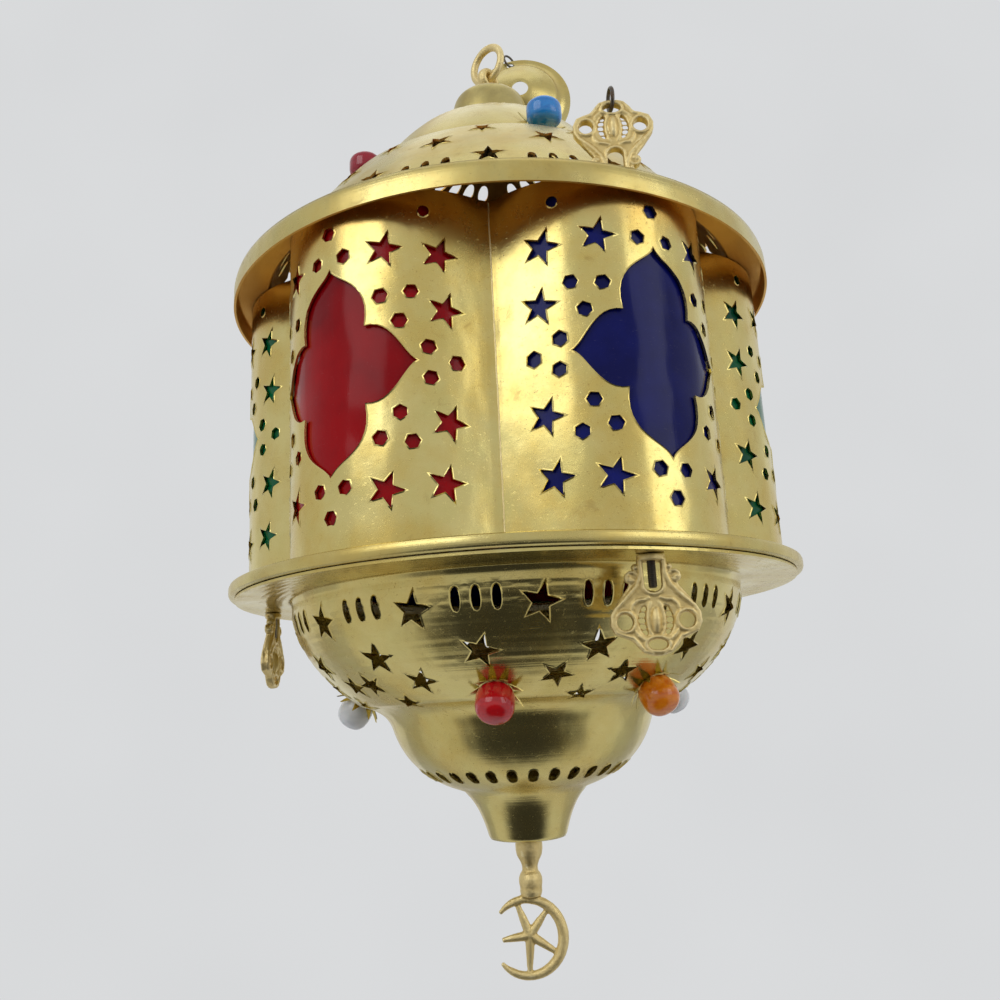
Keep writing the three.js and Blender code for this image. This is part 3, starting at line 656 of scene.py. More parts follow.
def cast_brass(name, base=(0.84, 0.665, 0.29)):
    """Sand-cast brass: grainy and matt, brighter on what stands up, with brown in the pits."""
    p = Paint(name)
    grain = p.noise(1100, 5, 0.65)
    worn = p.ramp(p.add("ShaderNodeNewGeometry").outputs["Pointiness"], 0.44, 0.56)
    tint = p.mix(p.ramp(p.noise(160, 4, 0.6), 0.35, 0.65), base, (0.74, 0.56, 0.22))
    tint = p.mix(p.ramp(worn, 0.0, 0.5, 0.35, 1.0), (0.26, 0.16, 0.05), tint)
    tint = p.mix(p.ramp(worn, 0.4, 1.0, 0, 0.8), tint, (0.95, 0.82, 0.46))
    pits = p.ramp(p.cells(700), 0.1, 0.4)
    normal = p.bump(pits, 0.0001, 0.4, p.bump(grain, 0.00022, 0.7))
    roughness = p.ramp(grain, 0.3, 0.7, 0.36, 0.58)
    return p.finish(Base_Color=tint, Metallic=0.9, Roughness=roughness, Normal=normal)


def dark_steel(name):
    p = Paint(name)
    rust = p.ramp(p.noise(420, 5, 0.7), 0.5, 0.7)
    tint = p.mix(rust, (0.13, 0.12, 0.10), (0.12, 0.07, 0.035))
    normal = p.bump(p.noise(900, 4), 0.0001, 0.6)
    return p.finish(Base_Color=tint, Metallic=0.85, Roughness=p.ramp(rust, 0, 1, 0.34, 0.6), Normal=normal)


def tinted_sheet(name, colour, deep):
    """Glossy translucent plastic sheet, scratched, a little uneven in colour."""
    p = Paint(name)
    streak = p.noise(1.0, 3, 0.6, p.scaled((300, 300, 12)))
    tint = p.mix(p.ramp(p.noise(30, 4), 0.35, 0.65), colour, deep)
    scuff = p.ramp(p.noise(1.0, 5, 0.8, p.scaled((240, 240, 900), (14, 6, 0))), 0.64, 0.7)
    dust = p.ramp(p.noise(2200, 2, 0.6), 0.68, 0.74)
    tint = p.mix(p.times(p.most(scuff, dust), 0.06), tint, (0.55, 0.5, 0.5))
    rough = p.ramp(p.plus(streak, p.times(scuff, 0.5)), 0.3, 1.0, 0.10, 0.26)
    normal = p.bump(p.noise(24, 2), 0.003, 0.8, p.bump(streak, 0.0001, 0.5))
    return p.finish(Base_Color=tint, Roughness=rough, Transmission_Weight=0.08, IOR=1.26, Normal=normal)


def glass_bead(name, colour, deep):
    """Opaque glass with a swirl of a deeper colour and pale chips."""
    p = Paint(name)
    swirl = p.noise(1.0, 3, 0.5, p.scaled((160, 160, 420), (20, 35, 0)), 1.2)
    tint = p.mix(p.ramp(swirl, 0.35, 0.68), colour, deep)
    chips = p.ramp(p.cells(900), 0.02, 0.09, 0.25, 0.0)
    tint = p.mix(chips, tint, (0.85, 0.85, 0.85))
    return p.finish(Base_Color=tint, Roughness=p.ramp(swirl, 0.3, 0.8, 0.05, 0.2), Subsurface_Weight=0.12,
                    Subsurface_Radius=(0.003, 0.002, 0.002), Coat_Weight=0.3, Coat_Roughness=0.03,
                    Normal=p.bump(p.noise(260, 3), 0.0003, 0.5))


brass_spun = sheet_brass("brass_spun", True, 0.25, 0.0, patina=0.3)
brass_bowl = sheet_brass("brass_bowl", True, 0.22, 0.0009, patina=0.2)
brass_dome = sheet_brass("brass_dome", True, 0.27, 0.0006, patina=0.38)
brass_cap = sheet_brass("brass_cap", True, 0.36, 0.0004, patina=0.75)
# the amber band at the top of each panel, just under the brim, is painted shade
brass_panel = sheet_brass("brass_panel", False, 0.22, 0.0011, (-0.1345, -0.1165))
# a rough, darker amber brass for the faces inside and under the brim: painted shade
brass_painted_shade = sheet_brass("brass_painted_shade", True, 0.5, 0.0, (-3.0, -2.0), shade_colour=(0.88, 0.50, 0.13))
brass_cast = cast_brass("brass_cast")
steel = dark_steel("steel_dark")
solder = cast_brass("solder_bright", (0.82, 0.74, 0.42))
LINER_PAINT = {
    "red": tinted_sheet("liner_red", (0.44, 0.0, 0.004), (0.24, 0.0, 0.004)),
    "blue": tinted_sheet("liner_blue", (0.006, 0.012, 0.20), (0.002, 0.004, 0.09)),
    "green": tinted_sheet("liner_green", (0.0, 0.16, 0.055), (0.0, 0.07, 0.035)),
}
BEAD_PAINT = {
    "red": glass_bead("bead_red", (0.62, 0.008, 0.012), (0.45, 0.004, 0.01)),
    "orange": glass_bead("bead_orange", (0.86, 0.26, 0.008), (0.72, 0.16, 0.004)),
    "white": glass_bead("bead_white", (0.93, 0.95, 0.96), (0.84, 0.87, 0.89)),
    "blue": glass_bead("bead_blue", (0.03, 0.30, 0.78), (0.02, 0.20, 0.62)),
    "dark_red": glass_bead("bead_dark_red", (0.42, 0.001, 0.02), (0.28, 0.001, 0.015)),
}

# panels and liners

LOBE_R, LOBE_CENTRE_R, LOBE_HALF = 39.5, 56.5, 70.0
PANEL_BOTTOM, PANEL_TOP = 4.6, 111.9
ARC_END = LOBE_R * rad(LOBE_HALF)
VALLEY = (78 * math.sin(rad(30)) - 0.13, -78 * math.cos(rad(30)) - 0.08)
PANELS = [("front_right", 28.5, "blue"), ("right", 88.5, "green"), ("back_right", 148.5, "red"),
          ("back_left", 208.5, "blue"), ("left", 268.5, "green"), ("front_left", 328.5, "red")]
CREST_HEXES = [(0, 101.3), (0, 14.1)]
SIDE_HEXES = [(5.3, 92.5), (16.7, 77.5), (25.9, 78.5), (22.4, 69.7), (30.3, 61.5), (38.6, 56.7), (30.8, 52.1),
              (21.9, 42.5), (25.4, 33.6), (16.1, 35.2), (4.6, 22.2)]
SIDE_STARS = [(17.6, 92.5), (34.2, 90.5), (35.6, 72.5), (35.6, 39), (34, 21), (17.5, 20.3)]
TOP_HOLE, TOP_HOLE_R = (30, 104.5), 1.7
HEX_R = 2.35
STAR_RADII = (5.6, 2.25)
WINDOW_Z, WINDOW_W, WINDOW_H, WINDOW_NOTCH = 57.5, 27.0, 32.0, 11.7


def arc_point(u, inset):
    """A point on a lobe's arc and the way out there."""
    way = Vector((math.sin(u / LOBE_R), -math.cos(u / LOBE_R), 0))
    return way * (LOBE_R - inset) - Vector((0, LOBE_CENTRE_R, 0)), way


def lobe_surface(turn):
    """The sheet of one panel: an arc, and on each side a flat lip that reaches into the valley."""
    end, end_normal = arc_point(ARC_END, 0)
    run = Vector((*VALLEY, 0)) - end
    lip_normal = Vector((run.y, -run.x, 0)).normalized()

    def surface(u, z):
        side = 1 if u >= 0 else -1
        past = abs(u) - ARC_END
        if past <= 0:
            point, normal = arc_point(u, 0)
        else:
            share = min(past / run.length, 1)
            point = end + run * share
            normal = end_normal.lerp(lip_normal, min(1, share * 2)).normalized()
            point.x *= side
            normal.x *= side
        # near the valley the light falls as on a sheet that faces straight out
        flat = min(1, max(0, (abs(u) / ARC_END - 0.62) / 0.5))
        radial = Vector((side * 0.5, -math.sqrt(0.75), 0))
        normal = normal.lerp(radial, 0.62 * flat * flat * (3 - 2 * flat)).normalized()
        point.z = z
        along_u = Vector((-normal.y, normal.x, 0))
        return turn_point(point, turn), turn_point(normal, turn), turn_point(along_u, turn), Vector((0, 0, 1))

    return surface, ARC_END + run.length


def window_loop():
    """The four-lobed window with a point at each end."""
    w, h, n = WINDOW_W, WINDOW_H, WINDOW_NOTCH
    quarter = bezier((0, h), (n * .2, h * .84), (n * 1.25, h * .82), (n, n), 12)
    quarter += bezier((n, n), (w * .75, n * 1.12), (w * .85, n * .15), (w, 0), 12)
    right = quarter + [(w, 0)] + [(u, -z) for u, z in reversed(quarter)]
    left = [(-u, z) for u, z in reversed(right[1:-1])]
    return ccw(placed(right + left, 0, WINDOW_Z))


def placed(loop, u, v):
    return [(u + a, v + b) for a, b in loop]


def jitter(amount):
    return rng.uniform(-amount, amount)


def make_panel(name, turn):
    surface, half = lobe_surface(turn)
    holes = [window_loop()]
    for side in (-1, 1):
        for u, z in SIDE_HEXES:
            loop = hex_loop(HEX_R + jitter(0.12), rng.uniform(0, 60))
            holes.append(placed(loop, side * u + jitter(.3), z + jitter(.3)))
        for u, z in SIDE_STARS:
            loop = star_loop(*STAR_RADII, 90 + jitter(6), 0.03)
            holes.append(placed(loop, side * u + jitter(.3), z + jitter(.3)))
        holes.append(placed(round_loop(TOP_HOLE_R), side * TOP_HOLE[0], TOP_HOLE[1]))
    for u, z in CREST_HEXES:
        holes.append(placed(hex_loop(HEX_R, 30 + jitter(8)), u + jitter(.3), z))
    across = (-half, -ARC_END, ARC_END, half)
    outline = resample([(u, PANEL_BOTTOM) for u in across] + [(u, PANEL_TOP) for u in across[::-1]], 2.2)
    columns, lines = 56, 48
    rows = [PANEL_BOTTOM + (PANEL_TOP - PANEL_BOTTOM) * j / lines for j in range(1, lines)]
    grid = []
    for j, z in enumerate(rows):
        places = [-half + 2 * half * (i + 0.5 * (j % 2)) / columns for i in range(1, columns)]
        grid += [(u, z) for u in places if abs(u) < ARC_END - 3.2]
    for past in (-2, -0.9, 0, 0.8, 1.8):
        grid += [(side * (ARC_END + past), z) for side in (-1, 1) for z in rows]
    flat, triangles, rims, _ = pierce(outline, holes, grid)
    points, faces, normals = sheet(flat, triangles, rims, surface, PANEL_SHEET, 0.3)
    return piece(f"panel_sheet_{name}", points, faces, brass_panel, replaces=[f"panel_{name}"],
                 normals=normals)


LINER_INSET, LINER_SHEET, LINER_EDGE = 1.0, 0.5, 2.5


def make_liner(name, turn, colour):
    """A curved sheet behind a panel's lobe, in loops of points that go up the front and down the back."""
    steps, rows = 48, 20
    bottom, top = PANEL_BOTTOM + LINER_EDGE, PANEL_TOP - LINER_EDGE
    heights = [bottom + (top - bottom) * j / rows for j in range(rows + 1)]
    columns = []
    for i in range(steps + 1):
        front, back = (arc_point(ARC_END * (2 * i / steps - 1), inset)[0]
                       for inset in (LINER_INSET, LINER_INSET + LINER_SHEET))
        column = [(front.x, front.y, z) for z in heights] + [(back.x, back.y, z) for z in reversed(heights)]
        columns.append([turn_point(p, turn) for p in column])
    points, faces = skin(columns)
    wide = 2 * rows + 2
    for first in (0, steps * wide):
        for j in range(rows):
            faces.append((first + j, first + j + 1, first + wide - 2 - j, first + wide - 1 - j))
    return clean(piece(f"liner_sheet_{name}", points, faces, LINER_PAINT[colour], slot=f"liner_{colour}",
                       replaces=[f"liner_{name}"]))


def add_seams():
    """The soldered seam down each valley between two panels."""
    seams = []
    low, high = PANEL_BOTTOM + 0.6, PANEL_TOP - 0.6
    for k in range(len(PANELS)):
        path, radii = [], []
        for z in np.linspace(low, high, 60).tolist():
            sway = 0.12 * noise.noise(Vector((k * 7, 0, z * 0.15)))
            path.append(turn_point((sway, -77.9, z), 58.5 + 60 * k))
            radii.append(0.3 + 0.14 * noise.noise(Vector((k * 9, 5, z * 0.35))))
        seams.append(tube(path, radii, 8))
    return clean(piece("panel_seams", *gather(*seams), solder), 180)


for panel_name, panel_turn, liner_colour in PANELS:
    make_panel(panel_name, panel_turn)
    make_liner(panel_name, panel_turn, liner_colour)
add_seams()

# dome and bowl

ROD_TURNS = {"front": 24.2, "back_right": 144.2, "left": 264.2}
EAR_TWISTS = {"front": -25, "back_right": 10, "left": 7}
ROD_CIRCLE = 91.0
REPEATS = 13
REPEAT = 360 / REPEATS
DOME_BEAD_Z, BOWL_BEAD_Z = 159.3, -34.6
DOME_BEADS = {"front": (20.5, "blue"), "left": (-63, "dark_red"), "right": (112, "white"),
              "back": (-156, "orange")}
BOWL_BEADS = {"front": (-7, "red"), "right": (43, "orange"), "back_right": (112, "white"),
              "back": (178, "blue"), "left": (-100, "white")}
# height and radii of each row of stars
DOME_STARS = {"low": (126.0, 5.4, 2.2), "middle": (138.2, 5.4, 2.2), "high": (145.2, 3.9, 1.7)}
BOWL_STARS = {"high": (-11.6, 6.0, 2.5), "middle": (-23.6, 5.9, 2.4), "side": (-30.8, 5.2, 2.1),
              "low": (-36.6, 4.3, 1.8)}
# slots between the stars: height, half width and length, and turns from a star
DOME_SLOTS = (123.2, 1.5, 3.6, (9.3, 13.9, 18.5))
BOWL_SLOTS = (-9.6, 1.35, 3.6, (10.0, 14.35, 18.7))
SHOULDER_SLOTS, FOOT_SLOTS = 28, 32
ROD_HOLE_R = 1.6


def dome_profile():
    path = [(99.7, 105), (99.7, 108.4), (99.6, 111.4), (99.2, 112.5), (98.2, 113), (88.2, 113), (87, 113.5)]
    path += arc((87, 113.5), (83.5, 127), (64, 148.8), 22)
    path += [(63, 149.7), (62, 150.3), (54.2, 151.2), (53.2, 151.7)]
    path += arc((53.2, 151.7), (49, 164.5), (35.5, 178), 18)
    path += [(34.8, 178.7), (34, 179), (20.4, 183.4), (19, 184), (18, 184.3), (2.4, 184.3)]
    return Profile(path)


def turns(first):
    return [first + REPEAT * k for k in range(REPEATS)]


def apart(a, b):
    return abs((a - b + 180) % 360 - 180)


def star_hole(profile, turn, row, turned):
    z, radius, inner = row
    return turn, profile.find(z), star_loop(radius, inner, turned)


def ring_of(row_turns, s, loop):
    """One shape of hole at several turns."""
    return [(turn, s, loop) for turn in row_turns]


def slots_beside(profile, turn, slots):
    z, half_width, half_length, steps = slots
    return ring_of([turn + step for step in steps], profile.find(z), almond_loop(half_width, half_length))


def paint_shade_inside(obj):
    """Paints shade on the faces that look inwards or down: they take a rougher, darker amber brass."""
    obj.data.materials.append(brass_painted_shade)
    for face in obj.data.polygons:
        c, n = face.center, face.normal
        # faces that look inwards or down get the painted shade
        if c.x * n.x + c.y * n.y < 0 and n.z < 0.3 or n.z < -0.3:
            face.material_index = 1
    return obj


def make_dome():
    profile = dome_profile()
    holes = []
    for turn in turns(-0.8):
        holes.append(star_hole(profile, turn, DOME_STARS["low"], jitter(10)))
        holes += slots_beside(profile, turn, DOME_SLOTS)
        holes.append(star_hole(profile, turn + REPEAT / 2 + 1, DOME_STARS["middle"], 180 + jitter(10)))
        holes.append(star_hole(profile, turn - 1.5, DOME_STARS["high"], 180 + jitter(10)))
    shoulder = profile.find_r(29.2, profile.find(180.5))
    shoulder_turns = [9.5 + 360 / SHOULDER_SLOTS * k for k in range(SHOULDER_SLOTS)]
    holes += ring_of(shoulder_turns, shoulder, almond_loop(2.15, 4.6))
    holes += ring_of(ROD_TURNS.values(), profile.find_r(ROD_CIRCLE, 16), round_loop(ROD_HOLE_R, 12))
    bead_turns = [turn for turn, _ in DOME_BEADS.values()]
    holes += ring_of(bead_turns, profile.find(DOME_BEAD_Z), round_loop(4.6, 24, 0.8))
    seam = [(0, 186.7), (profile.find(149), 186.7), (profile.find(153), 184), (profile.find(176), 180),
            (profile.s[-1], 180)]
    points, faces, normals = revolve(profile, holes, seam, 2.8, lambda s: 2.6, 0.32)
    return paint_shade_inside(piece("dome_shell", points, faces, brass_dome, replaces=["dome"], normals=normals))


def bowl_profile():
    path = [(2.4, -83), (11.4, -83), (12.8, -82.6), (13.4, -81.6)]
    path += arc((13.4, -81.6), (16, -72), (20, -68), 10)
    path += [(21.2, -66.6), (25.7, -65)]
    path += arc((25.7, -65), (40.5, -59), (45, -45), 18)
    path += arc((45, -45), (47, -38.5), (55.6, -37), 10)
    for r, z in arc((55.6, -37), (76.5, -23), (79, -5), 110):
        ridge = 0.6 * math.sin(z * 2 * math.pi / 2.9) + 0.4 * math.sin(z * 2 * math.pi / 1.83 + 1)
        path.append((r - 0.09 + 0.075 * ridge * min(1, max(0.3, (z + 34) / 8)), z))
    path += [(78.9, -3.2), (79.3, -1.2), (80.2, -0.85)]
    for k in range(1, 30):
        r = 80.2 + k * 0.57
        path.append((r, -0.85 + 0.05 * math.sin(r * 2 * math.pi / 2.85)))
    path += [(97.2, -0.8), (97.8, -0.8)]
    return Profile(path)


def make_bowl():
    profile = bowl_profile()
    holes = []
    beads = [turn for turn, _ in BOWL_BEADS.values()]

    def clear_of_beads(turn, room):
        return all(apart(turn, bead) > room for bead in beads)

    for turn in turns(5.2):
        holes.append(star_hole(profile, turn, BOWL_STARS["high"], 8 + jitter(12)))
        holes += slots_beside(profile, turn, BOWL_SLOTS)
        mid = turn - 13.9
        holes.append(star_hole(profile, mid, BOWL_STARS["middle"], jitter(20)))
        if clear_of_beads(mid, 14):
            for beside in (mid - 9.3, mid + 9.3):
                if clear_of_beads(beside, 11):
                    holes.append(star_hole(profile, beside, BOWL_STARS["side"], jitter(30)))
            holes.append(star_hole(profile, mid - 1, BOWL_STARS["low"], jitter(30)))
    holes += ring_of(beads, profile.find(BOWL_BEAD_Z), round_loop(4.7, 24))
    foot_turns = [4.4 + 360 / FOOT_SLOTS * k for k in range(FOOT_SLOTS)]
    holes += ring_of(foot_turns, profile.find(-60.6), almond_loop(1.75, 3.3))
    rods = profile.find_r(ROD_CIRCLE, profile.s[-1])
    holes += ring_of(ROD_TURNS.values(), rods, round_loop(ROD_HOLE_R, 12))
    seam = [(0, 167.5), (profile.find(-42), 167.5), (profile.find(-28), 168), (profile.find(-19), 178.2),
            (profile.s[-1], 178.2)]
    wall = profile.find(-34)
    points, faces, normals = revolve(profile, holes, seam, 2.6, lambda s: 0.45 if wall < s else 2.0, 0.34,
                                     fixed=140)
    return piece("bowl_shell", points, faces, brass_bowl, replaces=["bowl"], normals=normals)


make_dome()
make_bowl()

# rings, cap and pan


def turned_piece(name, outline, steps, node, wobble=0.0):
    return clean(piece(name, *lathe(outline, steps, wobble), brass_spun, replaces=[node]))


turned_piece("base_ring_plate", [(64, 3.3), (96.5, 3.3), (96.6, 0.7), (97, 0.3), (98.9, 0.3), (99.55, 0.7),
                                 (99.85, 1.4), (99.85, 3.2), (99.55, 3.9), (98.9, 4.25), (96.9, 4.25),
                                 (96.6, 4.0), (96.3, 4.3), (64.3, 4.3), (64, 4.1)],
             180, "base_ring", 0.001)
cap_path = [(16.4, 184.6), (16.35, 185.4), (16.0, 188.4)] + arc((16, 188.4), (15.7, 197), (14.6, 201.2), 8)
cap_path += arc((14.6, 201.2), (13.6, 204.7), (9.8, 204.95), 8) + [(2.4, 205)]
cap_shell = Profile(cap_path)
cap_points, cap_faces, cap_normals = revolve(cap_shell, [], [(0, 180), (cap_shell.s[-1], 180)], 1.6,
                                             lambda s: 1.2, 0.3, fixed=96)
piece("top_cap_shell", cap_points, cap_faces, brass_cap, replaces=["top_cap"], normals=cap_normals)

pan_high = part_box("candle_pan")[1]
PAN_RIM = min(pan_high.x, pan_high.y) / MM
turned_piece("candle_pan_tray", [(0, -49.8), (PAN_RIM - 1.6, -49.8), (PAN_RIM - 1.1, -49.4), (PAN_RIM, -45.9),
                                 (PAN_RIM - 0.4, -45.7), (PAN_RIM - 0.9, -45.9), (PAN_RIM - 2.1, -49),
                                 (12.6, -49), (12.3, -48.7), (12.3, -31.3), (12.1, -31), (11.7, -31),
                                 (11.5, -31.3), (11.5, -49), (0, -49)],
             96, "candle_pan")


# castings

CAST_ROUGH = 0.05


def cast(name, shapes, cell, place, node, smooth=3):
    """Joins closed shapes into one rounded casting. place takes their points to lantern millimetres."""
    mesh = bpy.data.meshes.new(name)
    points, faces = gather(*shapes)
    mesh.from_pydata(points, [], faces)
    bm = bmesh.new()
    bm.from_mesh(mesh)
    bmesh.ops.recalc_face_normals(bm, faces=bm.faces)
    bm.to_mesh(mesh)
    bm.free()
    raw = linked("raw", mesh)
    apply(raw, "REMESH", mode="VOXEL", voxel_size=cell)
    apply(raw, "SMOOTH", factor=0.5, iterations=smooth)
    apply(raw, "DECIMATE", ratio=0.55)
    points = []
    for vertex in raw.data.vertices:
        way = noise.noise_vector(vertex.co * 1.3) + noise.noise_vector(vertex.co * 0.4)
        points.append(place(vertex.co + way * CAST_ROUGH))
    faces = [tuple(face.vertices) for face in raw.data.polygons]
    bpy.data.objects.remove(raw)
    return clean(piece(name, points, faces, brass_cast, slot="cast_brass", replaces=[node]), 180)


def flat_casting(loops, half_depth, bevel):
    """A bevelled plate in X and Z from closed loops, the inner ones its holes."""
    curve = bpy.data.curves.new("outline", "CURVE")
    curve.dimensions = "2D"
    curve.fill_mode = "BOTH"
    curve.extrude = half_depth - bevel
    curve.bevel_depth = bevel
    curve.bevel_resolution = 1
    curve.offset = -bevel
    for loop in loops:
        spline = curve.splines.new("POLY")
        spline.points.add(len(loop) - 1)
        for point, (x, z) in zip(spline.points, loop):
            point.co = (x, z, 0, 1)
        spline.use_cyclic_u = True
    obj = linked("outline", curve)
    mesh = evaluated(obj)
    points = [Vector((v.co.x, -v.co.z, v.co.y)) for v in mesh.vertices]
    faces = [tuple(p.vertices) for p in mesh.polygons]
    bpy.data.objects.remove(obj)
    bpy.data.curves.remove(curve)
    bpy.data.meshes.remove(mesh)
    return points, faces


def rounded(loop, times=2):
    for _ in range(times):
        out = []
        for a, b in zip(loop, loop[1:] + loop[:1]):
            out.append((a[0] * .75 + b[0] * .25, a[1] * .75 + b[1] * .25))
            out.append((a[0] * .25 + b[0] * .75, a[1] * .25 + b[1] * .75))
        loop = out
    return loop


def oval(x, z, rx, rz, steps=20):
    """An oval as [across, up] points."""
    return [(x + rx * math.cos(a), z + rz * math.sin(a)) for a in circle(steps)]


def bow(x, z, rx, rz, first, step, count):
    """Points on a piece of an oval, from one angle on."""
    angles = [rad(first + step * k) for k in range(count)]
    return [(x + rx * math.cos(a), z + rz * math.sin(a)) for a in angles]


EAR_HALF = [(3.9, 0), (3.9, 4.5), (6.6, 4.7), (7.2, 6.4), (6.2, 7.8), (8.4, 10.5), (10.7, 13.6), (12.4, 17.6),
            (11.4, 21), (8.3, 22.3), (6.3, 23.3), (4.6, 25.7), (1.6, 27.2)]
EAR_SLOT = [(-2.4, 1.6), (-2.4, 8.2)] + bow(0, 8.2, 2.4, 2, 150, -30, 5) + [(2.4, 8.2), (2.4, 1.6)]
EAR_OPENING = [(2.1, 22.2), (3.1, 17.8), (2.1, 13.4), (4.0, 14.6), (4.9, 17.8), (4.0, 21.0)]
EAR_CURL = []
for curl_step in range(9):
    EAR_CURL += bow(5.9, 6.2, 1.9 - 0.15 * curl_step, 1.9 - 0.15 * curl_step, 200 + 40 * curl_step, 0, 1)
# raised vines on each half of each face: points, radii, sides
EAR_VINES = [
    ([(10.3, 13.9), (11.6, 16.2), (11.7, 18.6), (10.7, 20.7), (8.4, 21.7), (6.4, 22.3), (5.0, 24.2),
      (3.6, 25.9), (1.4, 26.6)], [0.5, 0.6, 0.65, 0.65, 0.6, 0.5, 0.55, 0.5, 0.45], 7),
    ([(3.2, 1.2), (3.3, 5.2), (4.6, 8.4), (6.6, 10.6), (8.6, 12.6), (10.3, 14.2)],
     [0.8, 0.75, 0.65, 0.7, 0.65, 0.5], 7),
    (EAR_CURL, 0.5, 6),
    ([(1.4, 11.6), (2.9, 12.2), (4.7, 12.4), (6.0, 13.6), (6.5, 15.4)], [0.4, 0.55, 0.6, 0.5, 0.35], 6),
    ([(2.2, 22.6), (3.6, 22.9), (5.0, 21.7), (5.9, 20.3)], [0.35, 0.5, 0.5, 0.35], 6),
    ([(1.2, 13.0), (2.0, 15.2), (2.3, 17.8), (2.0, 20.4), (1.0, 22.4)], 0.34, 6),
]


def raised(path, y, radii, sides, closed=False, side=1):
    """A bar along a path of [across, up] points, at one depth."""
    return tube([(side * x, y, z) for x, z in path], radii, sides, closed)


def ear_shapes():
    """A pierced plate with vines on both faces, knobs, and a foot."""
    loops = [rounded(EAR_HALF + [(-x, z) for x, z in reversed(EAR_HALF)]), EAR_SLOT, oval(0, 24.2, 2.6, 1.45)]
    for side in (-1, 1):
        loops.append(oval(side * 8.3, 18, 2.15, 2.15))
        loops.append([(side * x, z) for x, z in rounded(EAR_OPENING, 1)])
    shapes = [flat_casting(loops, 1.0, 0.3)]
    for y in (-0.95, 0.95):
        for side in (-1, 1):
            shapes.append(raised(oval(side * 8.3, 18, 2.75, 2.75), y, 0.62, 7, True))
            shapes += [raised(*vine[:1], y, *vine[1:], side=side) for vine in EAR_VINES]
            shapes += [raised([(2.7, z), (5.2, z)], 0, 0.26, 6, side=side) for z in (15.4, 17.0, 18.6, 20.2)]
        shapes.append(raised(oval(0, 24.2, 3.3, 2.0), y, 0.5, 7, True))
        shapes.append(raised([(-2.9, 4.0)] + bow(0, 8.2, 2.9, 2.6, 180, -22.5, 9) + [(2.9, 4.0)], y, 0.5, 6))
    for side in (-1, 1):
        shapes.append(ball((side * 6.5, 0, 6.3), (1.25, 1.6, 1.2), 8, 12))
        shapes.append(ball((side * 4.5, 0, 3.4), (1.1, 1.6, 1.1), 8, 12))
    return shapes + [ball((0, 0, 17.8), (1.7, 2.35, 4.1)), foot_shape()]


def foot_shape():
    """The oval foot, bored for the rod."""
    rings = []
    for a in circle(36):
        edge = 1 / math.hypot(math.cos(a) / 3.9, math.sin(a) / 2.9)
        path = [(1.6, 0), (edge, 0), (edge, 1.4), (edge - 0.4, 1.8), (1.6, 1.8)]
        rings.append([(r * math.cos(a), r * math.sin(a), z) for r, z in path])
    return skin(rings, True)


UPPER_FOOT, LOWER_FOOT = 113.3, -1.1


def on_rim(name, foot, way):
    """Takes an ear's own point to the lantern: way is 1 above the brim and -1 below the flange."""
    def place(p):
        x, y, _ = turn_point((p[0] * way, p[1], 0), EAR_TWISTS[name])
        return turn_point((x, y - ROD_CIRCLE, foot + p[2] * way), ROD_TURNS[name])
    return place


for rod_name in ROD_TURNS:
    for level, foot, way in (("upper", UPPER_FOOT, 1), ("lower", LOWER_FOOT, -1)):
        cast(f"{level}_ear_casting_{rod_name}", ear_shapes(), 0.25, on_rim(rod_name, foot, way),
             f"{level}_ear_{rod_name}", 2)

# rods, links and nuts


def nut_mesh(radius, bore, bottom, height, chamfer):
    """A hexagon nut with chamfered corners."""
    flat = radius * math.cos(rad(30))
    rings = []
    for a in circle(48):
        reach = flat / math.cos((a % rad(60)) - rad(30))
        edge = min(reach, flat + 0.25 * chamfer)
        path = [(bore, 0), (edge, 0), (reach, chamfer), (reach, height - chamfer), (edge, height),
                (bore, height)]
        rings.append([(r * math.sin(a), r * math.cos(a), bottom + z) for r, z in path])
    return skin(rings, True)


def thread(radius, low, high, pitch=0.5, depth=0.16):
    """Outline points of a threaded end, from low to high."""
    count = int((high - low) / pitch)
    out = []
    for k in range(count):
        out += [(radius - depth, low + k * pitch), (radius, low + (k + 0.5) * pitch)]
    return out + [(radius - depth, high)]


def rigid(name, shape, paint, place, node, body="root", slot="steel", sharp=35):
    points, faces = moved(shape, place)
    return clean(piece(name, points, faces, paint, body, slot, [node]), sharp)


ROD_ABOVE, ROD_BELOW, ROD_R = 3.2, 9.0, 1.25
for rod_name in ROD_TURNS:
    low, high = LOWER_FOOT - ROD_BELOW, UPPER_FOOT + ROD_ABOVE
    outline = [(0, low), (0.9, low)] + thread(ROD_R, low + 0.3, low + 12)
    outline += [(1.2, low + 12.5), (1.2, high - 8.5)]
    outline += thread(ROD_R, high - 8, high - 0.3) + [(0.9, high), (0, high)]
    rigid(f"tie_rod_bar_{rod_name}", lathe(outline, 16), steel, on_rim(rod_name, 0, 1), f"tie_rod_{rod_name}")
    loop = [turn_point((x, 0, z), 98) for x, z in oval(0, 27.9, 3, 3.5, 28)]
    rigid(f"ear_link_wire_{rod_name}", tube(loop, 0.62, 10, True), steel, on_rim(rod_name, UPPER_FOOT, 1),
          f"ear_link_{rod_name}", f"ear_link_{rod_name}")

rigid("eye_nut_hex", nut_mesh(4.2, 2.3, 180.2, 3, 0.4), steel, Vector, "eye_nut")
rigid("finial_nut_hex", nut_mesh(4.2, 2.2, -81.9, 3, 0.4), steel, Vector, "finial_nut")

# eye, ring, canopy and finial

RING_TURN, EYE_Z, RING_R = -41.0, 214.6, 7.5


def on_ring(p):
    return turn_point(p, RING_TURN)


